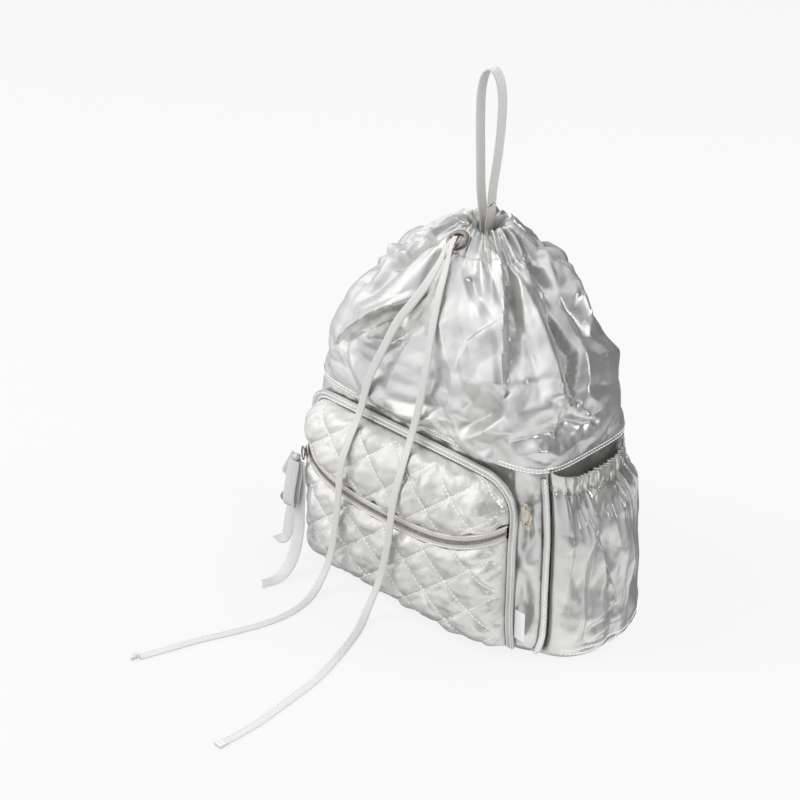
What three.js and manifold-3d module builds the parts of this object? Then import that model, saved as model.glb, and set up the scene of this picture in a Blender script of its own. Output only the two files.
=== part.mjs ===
// Quilted drawstring backpack of coated cloth: a rounded box below, gathered to a scrunched mouth above.
// Millimetres, +Z up, front towards -Y. The origin is the middle of the base, on the surface it stands on.

import * as THREE from "three";
import { mergeVertices } from "three/addons/utils/BufferGeometryUtils.js";
import Module from "manifold-3d";

const wasm = await Module();
wasm.setup();

// Body
const bodyWidth = 288;
const bodyDepth = 148;
const seamHeight = 182; // top-stitched seam between the lower and the upper half
const upperRise = 168; // from that seam to the top of the gathered rim
const clothWall = 2;
const baseThickness = 3;
const mouthWidth = 40;
const mouthDepth = 26;
const mouthBack = 13; // the mouth lies this far behind the middle
const foldDepth = 13;
const gatherDepth = 2.6;
const gatherCount = 17;
const pieceGap = 0.3; // clearance between pieces sewn to each other

// Front pocket
const pocketWidth = 248;
const pocketHeight = 166;
const pocketFloor = 2; // lower edge above the surface that the bag stands on
const pocketLeft = 9; // the pocket sits this far left of the middle
const pocketBulge = 27;
const pocketCorner = 30;
const padThickness = 4.5;
const quiltWidth = 50;
const quiltHeight = 42;
const quiltDepth = 3.2;
const bindingWidth = 7;
const bindingThickness = 3.2;

// Zip
const zipHeight = 97; // lowest point of its curve
const zipRise = 27; // its ends climb this much
const tapeWidth = 5;
const coilWidth = 4;
const zipThickness = 1.6;
const zipRecess = 1.5;
const sliderLength = 11;
const sliderWidth = 8;
const sliderThickness = 3;
const pullRingRadius = 6;
const pullRingWire = 1.5;

// Ribbon bow and bell
const ribbonWidth = 12.5;
const ribbonThickness = 0.9;
const bellRadius = 4.6;

// Side pockets
const sidePocketHeight = 184;
const sidePocketFront = 51; // from the middle of the side to the front seam
const sidePocketRear = 61; // and to the back seam
const sidePocketBulge = 25;
const hiddenFront = 40; // the left pocket is narrower and lies flatter
const hiddenBulge = 14;
const sideFoldDepth = 3.6;
const sideFoldCount = 8;
const sideSeamWidth = 6;
const sideSeamThickness = 2.4;

// Metal ring and label beside the front pocket
const ringHeight = 146;
const ringWidth = 24;
const ringReach = 10;
const ringWire = 3;
const tabLength = 15;
const tabReach = 9;
const tabThickness = 2;
const labelHeight = 30;
const labelReach = 11;
const labelThickness = 1;
const labelMiddle = 31;

// Eyelet and loop
const eyeletRadius = 10.5;
const eyeletHole = 5.6;
const eyeletThickness = 1.8;
const eyeletBarrel = 1;
const patchWidth = 30;
const patchHeight = 38;
const patchThickness = 1.2;
const loopHeight = 142; // above the rim
const loopWidth = 25;
const loopWebbing = 10.5;
const loopThickness = 1.8;
const loopDepth = 18; // how far its legs reach down into the mouth

// Laces
const laceWidth = 8;
const laceThickness = 1.4;
const knotRadius = 3.4;
const laceFold = 9; // length of the folded end

// Shoulder straps
const strapWidth = 56;
const strapThickness = 10;
const strapLength = 130; // as it lies against the back
const strapTop = 178;
const strapSpread = 70; // from the middle of the back to the middle of a strap
const strapBow = 13; // how far its middle stands off the back
const strapWebbing = 25;
const strapWebbingThickness = 1.8;
const strapFootX = 98;
const webbingFoot = 14;

const halfWidth = bodyWidth / 2;
const halfDepth = bodyDepth / 2;
const rimHeight = seamHeight + upperRise;

const cloth = { color: 0xc9c9c6, roughness: 0.34, metalness: 0.75 };
const quilted = { color: 0xcdcdca, roughness: 0.38, metalness: 0.7 };
const webbing = { color: 0xaaa8a4, roughness: 0.8, metalness: 0.1 };
const laceWeave = { color: 0xc6c5c1, roughness: 0.75, metalness: 0.15 };
const satin = { color: 0xd2d2d1, roughness: 0.45, metalness: 0.1 };
const tapeWeave = { color: 0xb9b1ab, roughness: 0.8, metalness: 0 };
const coilPlastic = { color: 0xa39a95, roughness: 0.5, metalness: 0.2 };
const nickel = { color: 0xb0a79c, roughness: 0.22, metalness: 1 };
const paleMetal = { color: 0xcfc4ab, roughness: 0.25, metalness: 1 };
const whiteTape = { color: 0xf2f2f2, roughness: 0.7, metalness: 0 };

const backpack = new THREE.Group();

function addPiece(name, geometry, look) {
  const mesh = new THREE.Mesh(geometry, new THREE.MeshStandardMaterial(look));
  mesh.name = name;
  backpack.add(mesh);
  return mesh;
}

function mix(from, to, share) {
  return from + (to - from) * share;
}

// Eases from 0 at one value to 1 at another, in either direction.
function smooth(from, to, value) {
  return THREE.MathUtils.smoothstep((value - from) / (to - from), 0, 1);
}

// Values of a table at any place between its rows.
function rowAt(table, place) {
  const low = Math.min(Math.floor(place), table.length - 2);
  const row = {};
  for (const column of Object.keys(table[0])) {
    row[column] = mix(table[low][column], table[low + 1][column], place - low);
  }
  return row;
}

// Closed loop of a rounded box that starts at the front and runs to the bag's +X side first.
class RoundedBoxLoop extends THREE.Curve {
  constructor(reachX, reachY, squareness) {
    super();
    this.reachX = reachX;
    this.reachY = reachY;
    this.squareness = squareness;
    this.arcLengthDivisions = 360;
  }

  getPoint(turn, target = new THREE.Vector2()) {
    const side = Math.sin(turn * 2 * Math.PI);
    const front = Math.cos(turn * 2 * Math.PI);
    const power = this.squareness;
    const sum = Math.abs(side / this.reachX) ** power + Math.abs(front / this.reachY) ** power;
    const reach = sum ** (-1 / power);
    return target.set(reach * side, -reach * front);
  }
}

// Sections of the lower half: rise is a share of the seam's height, width and depth of the body's.
const lowerSections = [
  { rise: 0, width: 1.0, depth: 0.96, square: 6 },
  { rise: 0.03, width: 1.02, depth: 0.99, square: 6.5 },
  { rise: 0.12, width: 1.03, depth: 1.01, square: 6.5 },
  { rise: 0.35, width: 1.015, depth: 1.02, square: 6 },
  { rise: 0.62, width: 1.0, depth: 1.02, square: 6 },
  { rise: 0.85, width: 0.99, depth: 1.0, square: 5.5 },
  { rise: 1, width: 0.985, depth: 0.98, square: 5 },
];

// Sections of the upper half: rise is a share of its height, width and depth go from the mouth, 0, to
// the body, 1, and back is the share of the mouth's shift.
const upperSections = [
  { rise: 0, width: 0.98, depth: 0.97, square: 5, back: 0 },
  { rise: 0.12, width: 0.99, depth: 1.0, square: 4.2, back: 0.05 },
  { rise: 0.25, width: 0.97, depth: 1.01, square: 3.6, back: 0.1 },
  { rise: 0.39, width: 0.91, depth: 1.0, square: 3.1, back: 0.3 },
  { rise: 0.53, width: 0.8, depth: 0.95, square: 2.8, back: 0.5 },
  { rise: 0.66, width: 0.67, depth: 0.86, square: 2.5, back: 0.7 },
  { rise: 0.77, width: 0.53, depth: 0.74, square: 2.3, back: 0.85 },
  { rise: 0.86, width: 0.38, depth: 0.58, square: 2.2, back: 1 },
  { rise: 0.915, width: 0.27, depth: 0.43, square: 2.1, back: 1 },
  { rise: 0.965, width: 0.16, depth: 0.26, square: 2, back: 1 },
  { rise: 1, width: 0.06, depth: 0.09, square: 2, back: 1 },
  { rise: 0.975, width: -0.02, depth: -0.03, square: 2, back: 1 },
  { rise: 0.93, width: -0.04, depth: -0.05, square: 2, back: 1 },
];
const channelRow = 8; // the drawstring channel's stitch line

// Folds of the upper half. A fold runs from top to foot, both shares of the rows above, and moves from
// one place round the loop to another; deep is a share of foldDepth, below zero for a dent.
const folds = [
  { top: 0.74, foot: 0.12, startAt: 0.1, endAt: 0.175, startWide: 0.012, endWide: 0.02, deep: -1.15 },
  { top: 0.72, foot: 0.2, startAt: 0.155, endAt: 0.225, startWide: 0.025, endWide: 0.03, deep: 0.75 },
  { top: 0.72, foot: 0.16, startAt: 0.05, endAt: 0.1, startWide: 0.01, endWide: 0.016, deep: -0.8 },
  { top: 0.72, foot: 0.25, startAt: 0.075, endAt: 0.135, startWide: 0.014, endWide: 0.02, deep: 0.5 },
  { top: 0.7, foot: 0.3, startAt: 0.01, endAt: 0.03, startWide: 0.02, endWide: 0.04, deep: 0.35 },
  { top: 0.7, foot: 0.2, startAt: -0.03, endAt: -0.06, startWide: 0.01, endWide: 0.018, deep: -0.6 },
  { top: 0.7, foot: 0.22, startAt: -0.1, endAt: -0.15, startWide: 0.014, endWide: 0.02, deep: -0.7 },
  { top: 0.68, foot: 0.3, startAt: -0.16, endAt: -0.22, startWide: 0.016, endWide: 0.02, deep: -0.6 },
  { top: 0.3, foot: 0.02, startAt: 0.06, endAt: 0.035, startWide: 0.014, endWide: 0.02, deep: -0.45 },
  { top: 0.3, foot: 0.04, startAt: 0.15, endAt: 0.165, startWide: 0.018, endWide: 0.02, deep: -0.5 },
  { top: 0.7, foot: 0.2, startAt: 0.26, endAt: 0.27, startWide: 0.015, endWide: 0.02, deep: -0.6 },
  { top: 0.7, foot: 0.25, startAt: 0.37, endAt: 0.36, startWide: 0.02, endWide: 0.03, deep: -0.6 },
  { top: 0.7, foot: 0.25, startAt: 0.48, endAt: 0.49, startWide: 0.02, endWide: 0.03, deep: -0.5 },
  { top: 0.7, foot: 0.25, startAt: 0.6, endAt: 0.62, startWide: 0.02, endWide: 0.03, deep: -0.6 },
  { top: 0.7, foot: 0.2, startAt: 0.72, endAt: 0.71, startWide: 0.015, endWide: 0.02, deep: -0.6 },
];

function foldLift(share, climb) {
  let lift = 0;
  for (const fold of folds) {
    const along = (climb - fold.foot) / (fold.top - fold.foot);
    if (along <= 0 || along >= 1) continue;
    const place = mix(fold.endAt, fold.startAt, along);
    const wide = mix(fold.endWide, fold.startWide, along);
    const away = THREE.MathUtils.euclideanModulo(share - place + 0.5, 1) - 0.5;
    const fade = smooth(0, 0.35, along) * smooth(1, 0.85, along);
    lift += fold.deep * foldDepth * fade * Math.exp(-((away / wide) ** 2));
  }
  return lift;
}

// Small regular gathers under the drawstring, flat where the eyelet's patch is sewn on.
function gatherLift(share, climb) {
  const ramp = smooth(0.3, 0.66, climb) * smooth(0.98, 0.8, climb);
  const away = THREE.MathUtils.euclideanModulo(share + 0.5, 1) - 0.5;
  const flat = 1 - Math.exp(-((away / 0.095) ** 4));
  return gatherDepth * ramp * flat * Math.cos(2 * Math.PI * gatherCount * (share + 0.006 * Math.sin(37 * share)));
}

function upperLoop(row) {
  const reachX = mix(mouthWidth / 2, halfWidth, row.width);
  const reachY = mix(mouthDepth / 2, halfDepth, row.depth);
  return new RoundedBoxLoop(reachX, reachY, row.square);
}

const upperLoops = upperSections.map(upperLoop);

// A point of the upper half before it is folded: share runs once round the loop, climb from the seam to
// the lip inside the mouth.
function upperBase(share, climb) {
  const place = climb * (upperSections.length - 1);
  const low = Math.min(Math.floor(place), upperSections.length - 2);
  const turn = THREE.MathUtils.euclideanModulo(share, 1);
  const below = upperLoops[low].getPointAt(turn);
  const above = upperLoops[low + 1].getPointAt(turn);
  const point = below.lerp(above, place - low);
  const row = rowAt(upperSections, place);
  return new THREE.Vector3(
    point.x,
    point.y + mouthBack * row.back,
    seamHeight + pieceGap + upperRise * row.rise,
  );
}

// Unit vector square to a surface that is given as a function of two shares.
function faceDirection(surface, across, up, stepAcross, stepUp) {
  const along = surface(across + stepAcross, up).sub(surface(across - stepAcross, up));
  const rising = surface(across, Math.min(up + stepUp, 1)).sub(surface(across, Math.max(up - stepUp, 0)));
  return along.cross(rising).normalize();
}

function upperPoint(share, climb) {
  const point = upperBase(share, climb);
  const out = faceDirection(upperBase, share, climb, 0.01, 0.04);
  return point.addScaledVector(out, foldLift(share, climb) + gatherLift(share, climb));
}

function lowerPoint(share, climb) {
  const row = rowAt(lowerSections, climb * (lowerSections.length - 1));
  const loop = new RoundedBoxLoop(halfWidth * row.width, halfDepth * row.depth, row.square);
  const point = loop.getPointAt(THREE.MathUtils.euclideanModulo(share, 1));
  return new THREE.Vector3(point.x, point.y, seamHeight * row.rise);
}

// Closed cloth of even thickness on a grid of points, round a loop or with four free edges.
// settle may move a point of the inner face, such as to keep a hem level.
function clothSolid({ surface, columns, rows, thickness, round = false, settle = (point) => point }) {
  const wide = round ? columns : columns + 1;
  const positions = [];
  const inner = [];
  for (let row = 0; row <= rows; row++) {
    for (let column = 0; column < wide; column++) {
      const across = column / columns;
      const up = row / rows;
      const point = surface(across, up);
      const out = faceDirection(surface, across, up, 0.25 / columns, 0.25 / rows);
      positions.push(point.x, point.y, point.z);
      inner.push(settle(point.clone().addScaledVector(out, -thickness), point, up));
    }
  }
  for (const point of inner) positions.push(point.x, point.y, point.z);

  const count = wide * (rows + 1);
  const faces = [];
  const quad = (a, b, c, d) => faces.push(a, b, c, a, c, d);
  const at = (column, row) => row * wide + (column % wide);
  for (let row = 0; row < rows; row++) {
    for (let column = 0; column < columns; column++) {
      const corners = [at(column, row), at(column + 1, row), at(column + 1, row + 1), at(column, row + 1)];
      quad(...corners);
      quad(...corners.reverse().map((corner) => corner + count));
    }
  }
  for (let column = 0; column < columns; column++) {
    const foot = [at(column, 0), at(column + 1, 0)];
    const top = [at(column, rows), at(column + 1, rows)];
    quad(foot[0], foot[0] + count, foot[1] + count, foot[1]);
    quad(top[1], top[1] + count, top[0] + count, top[0]);
  }
  if (!round) {
    for (let row = 0; row < rows; row++) {
      const start = [at(0, row), at(0, row + 1)];
      const end = [row * wide + columns, (row + 1) * wide + columns];
      quad(start[1], start[1] + count, start[0] + count, start[0]);
      quad(end[0], end[0] + count, end[1] + count, end[1]);
    }
  }
  return new THREE.BufferGeometry()
    .setAttribute("position", new THREE.Float32BufferAttribute(positions, 3))
    .setIndex(faces);
}

function toSolid(geometry) {
  const bare = geometry.clone();
  bare.deleteAttribute("normal");
  bare.deleteAttribute("uv");
  const merged = mergeVertices(bare, 1e-3);
  return new wasm.Manifold(
    new wasm.Mesh({
      numProp: 3,
      vertProperties: merged.getAttribute("position").array,
      triVerts: new Uint32Array(merged.getIndex().array),
    }),
  );
}

function toGeometry(solid) {
  const mesh = solid.getMesh();
  return new THREE.BufferGeometry()
    .setAttribute("position", new THREE.BufferAttribute(new Float32Array(mesh.vertProperties), mesh.numProp))
    .setIndex(new THREE.BufferAttribute(new Uint32Array(mesh.triVerts), 1));
}

// Lower half: a ring of cloth, level at the floor and at the seam, and the panel it stands on.
addPiece(
  "lower_body",
  clothSolid({
    surface: lowerPoint,
    columns: 48,
    rows: lowerSections.length - 1,
    thickness: clothWall,
    round: true,
    settle: (point, outer, up) => (up === 0 || up === 1 ? point.setZ(outer.z) : point),
  }),
  cloth,
);

const baseRow = lowerSections[0];
const baseOutline = new RoundedBoxLoop(
  halfWidth * baseRow.width - clothWall - 2 * pieceGap,
  halfDepth * baseRow.depth - clothWall - 2 * pieceGap,
  baseRow.square,
).getSpacedPoints(48);
addPiece(
  "base_panel",
  new THREE.ExtrudeGeometry(new THREE.Shape(baseOutline.slice(0, -1)), { depth: baseThickness, bevelEnabled: false }),
  cloth,
);

// Where the eyelet sits: the middle of the channel at the front.
const eyeletClimb = (channelRow + 0.75) / (upperSections.length - 1);
const eyeletPlace = upperPoint(0, eyeletClimb);
const eyeletOut = faceDirection(upperPoint, 0, eyeletClimb, 0.02, 0.06);
const turnToEyelet = new THREE.Quaternion().setFromUnitVectors(new THREE.Vector3(0, 0, 1), eyeletOut);
const eyeletPose = new THREE.Matrix4().compose(eyeletPlace, turnToEyelet, new THREE.Vector3(1, 1, 1));

const eyeletDrill = new THREE.CylinderGeometry(
  eyeletHole + eyeletBarrel + pieceGap,
  eyeletHole + eyeletBarrel + pieceGap,
  12,
  16,
)
  .rotateX(Math.PI / 2)
  .applyMatrix4(eyeletPose);

const upperCloth = clothSolid({
  surface: upperPoint,
  columns: 66,
  rows: upperSections.length - 1,
  thickness: clothWall,
  round: true,
  settle: (point, outer, up) => (up === 0 ? point.setZ(outer.z) : point),
});
addPiece("upper_body", toGeometry(toSolid(upperCloth).subtract(toSolid(eyeletDrill))), cloth);

// The patch follows the channel's flat front.
const patchBase = 5 * pieceGap + patchThickness;
function patchPoint(across, up) {
  const share = ((across - 0.5) * patchWidth) / upperLoops[channelRow].getLength();
  const climb = eyeletClimb + ((up - 0.5) * patchHeight) / 2 / (upperSections.length - 1) / 13;
  const out = faceDirection(upperPoint, share, climb, 0.01, 0.04);
  return upperPoint(share, climb).addScaledVector(out, patchBase);
}
const patchCloth = clothSolid({ surface: patchPoint, columns: 5, rows: 3, thickness: patchThickness });
addPiece("eyelet_patch", toGeometry(toSolid(patchCloth).subtract(toSolid(eyeletDrill))), cloth);

const eyeletFoot = patchBase + 4 * pieceGap;
const eyeletProfile = [
  [eyeletHole, -clothWall],
  [eyeletHole + eyeletBarrel, -clothWall],
  [eyeletHole + eyeletBarrel, eyeletFoot],
  [eyeletRadius, eyeletFoot],
  [eyeletRadius - 0.6, eyeletFoot + eyeletThickness * 0.7],
  [eyeletHole + eyeletBarrel + 0.8, eyeletFoot + eyeletThickness],
  [eyeletHole, eyeletFoot + eyeletThickness * 0.4],
  [eyeletHole, -clothWall],
].map(([radius, height]) => new THREE.Vector2(radius, height));
const eyelet = addPiece("eyelet", new THREE.LatheGeometry(eyeletProfile, 14).rotateX(Math.PI / 2), nickel);
eyelet.position.copy(eyeletPlace);
eyelet.quaternion.copy(turnToEyelet);

// Front of the lower half at a place across the bag, as a distance from the middle.
function frontReach(x, height) {
  const place = Math.min(Math.max(height / seamHeight, 0), 1);
  let low = 0;
  while (low < lowerSections.length - 2 && lowerSections[low + 1].rise < place) low++;
  const below = lowerSections[low];
  const above = lowerSections[low + 1];
  const row = rowAt(lowerSections, low + (place - below.rise) / (above.rise - below.rise));
  const side = Math.min(Math.abs(x) / (halfWidth * row.width), 0.995);
  return halfDepth * row.depth * (1 - side ** row.square) ** (1 / row.square);
}

function sideReach(y, height) {
  const place = Math.min(Math.max(height / seamHeight, 0), 1);
  let low = 0;
  while (low < lowerSections.length - 2 && lowerSections[low + 1].rise < place) low++;
  const below = lowerSections[low];
  const above = lowerSections[low + 1];
  const row = rowAt(lowerSections, low + (place - below.rise) / (above.rise - below.rise));
  const front = Math.min(Math.abs(y) / (halfDepth * row.depth), 0.995);
  return halfWidth * row.width * (1 - front ** row.square) ** (1 / row.square);
}

// Front pocket: half its width at a height, less near the rounded upper corners.
const pocketTop = pocketFloor + pocketHeight;
function pocketReach(height) {
  const into = Math.max(height - (pocketTop - pocketCorner), 0);
  return pocketWidth / 2 - pocketCorner + Math.sqrt(Math.max(pocketCorner ** 2 - into ** 2, 0));
}

function zipLine(across) {
  return zipHeight + zipRise * Math.abs(across) ** 2.6;
}

// Diamonds: deepest on two sets of slanting seams.
function quiltLift(x, height) {
  const rising = Math.abs(Math.sin(Math.PI * (x / quiltWidth + height / quiltHeight)));
  const falling = Math.abs(Math.sin(Math.PI * (x / quiltWidth - height / quiltHeight)));
  return quiltDepth * Math.sqrt(rising * falling);
}

function pocketPuff(across, height) {
  const up = (height - pocketFloor) / pocketHeight * 2 - 1;
  const sides = Math.sqrt(1 - Math.min(Math.abs(across), 1) ** 6);
  const ends = Math.sqrt(1 - Math.min(Math.abs(up), 1) ** (up > 0 ? 3.2 : 9));
  return sides * ends;
}

function pocketPoint(across, height, sunk) {
  const x = across * pocketReach(height);
  const puff = pocketPuff(across, height);
  const stand = 2 * pieceGap + padThickness + (pocketBulge - padThickness) * puff;
  const lift = quiltLift(x, height) * smooth(0, 0.5, puff);
  return new THREE.Vector3(x - pocketLeft, -frontReach(x - pocketLeft, height) - stand - lift + sunk, height);
}

const zipHalf = tapeWidth + coilWidth / 2 + 2 * pieceGap;

// The inner face stays clear of the body's front panel.
function clearOfFront(point) {
  const front = -frontReach(point.x, point.z) - 2 * pieceGap;
  return point.setY(Math.min(point.y, front)).setZ(Math.max(point.z, pocketFloor));
}

// level keeps the rim beside the zip level, so that the tapes fit between the two padded pieces.
function pocketPiece(lowEdge, highEdge, rows, level) {
  return clothSolid({
    surface: (across, up) => {
      const side = Math.sin((across - 0.5) * Math.PI) * 0.35 + (across - 0.5) * 2 * 0.65;
      const share = Math.sin((up - 0.5) * Math.PI) / 2 + 0.5;
      const height = mix(lowEdge(side), highEdge(side), mix(up, share, 0.4));
      return pocketPoint(side, height, 0);
    },
    columns: 18,
    rows,
    thickness: padThickness,
    settle: (point, outer, up) => clearOfFront(up === level ? point.setX(outer.x).setZ(outer.z) : point),
  });
}

addPiece("pocket_front", pocketPiece(() => pocketFloor, (side) => zipLine(side) - zipHalf, 8, 1), quilted);
addPiece("pocket_lid", pocketPiece((side) => zipLine(side) + zipHalf, () => pocketTop, 5, 0), quilted);

function zipPiece(lowOffset, highOffset, thickness, sunk) {
  return clothSolid({
    surface: (across, up) => {
      const side = 0.985 * (Math.sin((across - 0.5) * Math.PI) * 0.35 + (across - 0.5) * 2 * 0.65);
      return pocketPoint(side, zipLine(side) + mix(lowOffset, highOffset, up), sunk);
    },
    columns: 18,
    rows: 1,
    thickness,
    settle: (point, outer) => clearOfFront(point.setX(outer.x).setZ(outer.z)),
  });
}

const coilHalf = coilWidth / 2;
addPiece("zip_tape_lower", zipPiece(-zipHalf + pieceGap, -coilHalf - pieceGap, zipThickness, zipRecess), tapeWeave);
addPiece("zip_tape_upper", zipPiece(coilHalf + pieceGap, zipHalf - pieceGap, zipThickness, zipRecess), tapeWeave);
addPiece("zip_coil", zipPiece(-coilHalf, coilHalf, zipThickness + 0.6, zipRecess - 0.6), coilPlastic);

// Flat band along chosen points: facing is the direction that its broad side looks in at each point.
class LaidCurve extends THREE.CatmullRomCurve3 {
  constructor(points, facings) {
    super(points, false, "centripetal");
    this.facings = facings;
    this.arcLengthDivisions = 400;
  }

  facingAt(place) {
    const spot = this.getUtoTmapping(place) * (this.facings.length - 1);
    const low = Math.min(Math.floor(spot), this.facings.length - 2);
    return this.facings[low].clone().lerp(this.facings[low + 1], spot - low);
  }

  computeFrenetFrames(segments) {
    const frames = { tangents: [], normals: [], binormals: [] };
    for (let step = 0; step <= segments; step++) {
      const tangent = this.getTangentAt(step / segments);
      const broad = this.facingAt(step / segments).cross(tangent).normalize();
      frames.tangents.push(tangent);
      frames.normals.push(broad);
      frames.binormals.push(tangent.clone().cross(broad));
    }
    return frames;
  }
}

// Section of a band: its edges are chamfered over their full thickness.
function bandSection(width, thickness) {
  const w = width / 2;
  const t = thickness / 2;
  const corners = [
    [w, -t / 2],
    [w, t / 2],
    [w - t, t],
    [-w + t, t],
    [-w, t / 2],
    [-w, -t / 2],
    [-w + t, -t],
    [w - t, -t],
  ];
  return new THREE.Shape(corners.map(([x, y]) => new THREE.Vector2(x, y)));
}

function plainSection(width, thickness) {
  const w = width / 2;
  const t = thickness / 2;
  const corners = [
    [-w, -t],
    [w, -t],
    [w, t],
    [-w, t],
  ];
  return new THREE.Shape(corners.map(([x, y]) => new THREE.Vector2(x, y)));
}

function band(section, points, facings, steps) {
  const extrudePath = new LaidCurve(points, facings);
  return new THREE.ExtrudeGeometry(section, { steps, extrudePath, bevelEnabled: false });
}

const towardsFront = new THREE.Vector3(0, -1, 0);
const towardsBack = new THREE.Vector3(0, 1, 0);
const upwards = new THREE.Vector3(0, 0, 1);

// Binding round the pocket, from the floor at one side over the top to the floor at the other.
const straightShares = [0, 0.2, 0.4, 0.6, 0.8];
const cornerTurns = [0, 18, 36, 54, 72, 90];
const bindingOut = bindingWidth / 2 + 4 * pieceGap;

function bindingPoint(side, flatX, height) {
  const x = side * flatX - pocketLeft;
  const nearX = Math.abs(x) - bindingOut;
  return new THREE.Vector3(x, -frontReach(nearX, height) - 5 * pieceGap - bindingThickness / 2, height);
}

function bindingHalf(side) {
  const straight = straightShares.map((share) =>
    bindingPoint(side, pocketWidth / 2 + bindingOut, mix(pocketFloor + 1, pocketTop - pocketCorner, share)),
  );
  const corner = cornerTurns.map((degrees) => {
    const turn = THREE.MathUtils.degToRad(degrees);
    const reach = pocketCorner + bindingOut;
    return bindingPoint(
      side,
      pocketWidth / 2 - pocketCorner + reach * Math.cos(turn),
      pocketTop - pocketCorner + reach * Math.sin(turn),
    );
  });
  return [...straight, ...corner];
}

const bindingPoints = [...bindingHalf(-1), ...bindingHalf(1).reverse()];
addPiece(
  "pocket_binding",
  band(bandSection(bindingWidth, bindingThickness), bindingPoints, bindingPoints.map(() => towardsFront), 25),
  quilted,
);

// Slider on the coil near the left end, and the ring that lies against it.
const sliderSide = -0.87;
const coilSunk = zipRecess - 0.6;
function coilFace(across, up) {
  const side = (across - 0.5) * 2;
  return pocketPoint(side, zipLine(side) + (up - 0.5) * coilWidth, coilSunk);
}
const sliderAcross = sliderSide / 2 + 0.5;
const sliderSeat = coilFace(sliderAcross, 0.5);
const sliderOut = faceDirection(coilFace, sliderAcross, 0.5, 0.02, 0.5);
const sliderAlong = coilFace(sliderAcross + 0.02, 0.5).sub(coilFace(sliderAcross - 0.02, 0.5)).normalize();
const sliderUp = sliderOut.clone().cross(sliderAlong);
const sliderTurn = new THREE.Quaternion().setFromRotationMatrix(
  new THREE.Matrix4().makeBasis(sliderAlong, sliderUp, sliderOut),
);
const sliderStand = 0.5;
const slider = addPiece("zip_slider", new THREE.BoxGeometry(sliderLength, sliderWidth, sliderThickness), nickel);
slider.position.copy(sliderSeat).addScaledVector(sliderOut, sliderStand + sliderThickness / 2);
slider.quaternion.copy(sliderTurn);

const ringStand = sliderStand + sliderThickness + pieceGap + pullRingWire / 2;
const pullRing = addPiece("pull_ring", new THREE.TorusGeometry(pullRingRadius, pullRingWire / 2, 6, 12), nickel);
const ringDrop = 0.3 * pullRingRadius;
pullRing.position.copy(sliderSeat).addScaledVector(sliderOut, ringStand).addScaledVector(sliderUp, -ringDrop);
pullRing.quaternion.copy(sliderTurn);

// Ribbon bow below the ring. Its points are measured from the knot.
const knotWidth = 7;
const knotHeight = 6;
const knotPlace = pullRing.position
  .clone()
  .addScaledVector(sliderOut, pullRingWire / 2 + knotWidth / 2 + pieceGap)
  .addScaledVector(sliderUp, -pullRingRadius);
const bowKnot = addPiece("bow_knot", new THREE.SphereGeometry(knotWidth / 2, 8, 6), satin);
bowKnot.scale.set(1, 1, knotHeight / knotWidth);
bowKnot.position.copy(knotPlace);

// drop is a share of the knot's height above the floor.
function ribbonBand(name, steps, places) {
  const fall = knotPlace.z - ribbonThickness / 2 - pieceGap;
  const points = places.map(({ x, y, drop }) => knotPlace.clone().add(new THREE.Vector3(x, y, -fall * drop)));
  const facings = places.map(({ faceX, faceY, faceZ }) => new THREE.Vector3(faceX, faceY, faceZ).normalize());
  return addPiece(name, band(plainSection(ribbonWidth, ribbonThickness), points, facings, steps), satin);
}

ribbonBand("bow_loop_front", 16, [
  { x: -1, y: -1.9, drop: 0.034, faceX: 0.1, faceY: -1, faceZ: 0 },
  { x: -1.5, y: -5, drop: 0.16, faceX: 0.2, faceY: -1, faceZ: 0.1 },
  { x: -1.5, y: -9, drop: 0.3, faceX: 0.2, faceY: -1, faceZ: 0 },
  { x: -1, y: -11, drop: 0.42, faceX: 0.2, faceY: -1, faceZ: 0 },
  { x: -0.5, y: -9, drop: 0.45, faceX: 0.1, faceY: -0.4, faceZ: -1 },
  { x: 0.5, y: -7, drop: 0.42, faceX: -0.2, faceY: 1, faceZ: 0 },
  { x: 1, y: -4.6, drop: 0.3, faceX: -0.2, faceY: 1, faceZ: 0 },
  { x: 1, y: -1.2, drop: 0.16, faceX: -0.2, faceY: 1, faceZ: 0 },
  { x: 0.5, y: -0.1, drop: 0.036, faceX: -0.1, faceY: 1, faceZ: 0 },
]);
ribbonBand("bow_loop_side", 12, [
  { x: -4.5, y: 4.5, drop: 0.02, faceX: 0.1, faceY: -1, faceZ: 0 },
  { x: -13, y: 5.5, drop: 0.14, faceX: 0.1, faceY: -1, faceZ: 0 },
  { x: -21, y: 6, drop: 0.27, faceX: 0.1, faceY: -1, faceZ: 0 },
  { x: -22, y: 8, drop: 0.31, faceX: -0.6, faceY: 0, faceZ: -0.8 },
  { x: -20, y: 10, drop: 0.28, faceX: 0, faceY: 1, faceZ: 0 },
  { x: -13, y: 10, drop: 0.15, faceX: 0, faceY: 1, faceZ: 0 },
]);
ribbonBand("bow_tail_long", 16, [
  { x: 2.5, y: 1.5, drop: 0.034, faceX: 0, faceY: -1, faceZ: 0 },
  { x: 3.5, y: 0.5, drop: 0.27, faceX: 0.1, faceY: -1, faceZ: 0 },
  { x: 6, y: -3.4, drop: 0.46, faceX: 0.1, faceY: -1, faceZ: 0.1 },
  { x: 11, y: -11, drop: 0.69, faceX: 0.2, faceY: -1, faceZ: 0.4 },
  { x: 16, y: -26, drop: 0.89, faceX: 0.2, faceY: -0.8, faceZ: 0.7 },
  { x: 16, y: -42, drop: 0.985, faceX: 0, faceY: -0.3, faceZ: 1 },
  { x: 11, y: -58, drop: 0.995, faceX: 0, faceY: 0, faceZ: 1 },
]);
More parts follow.
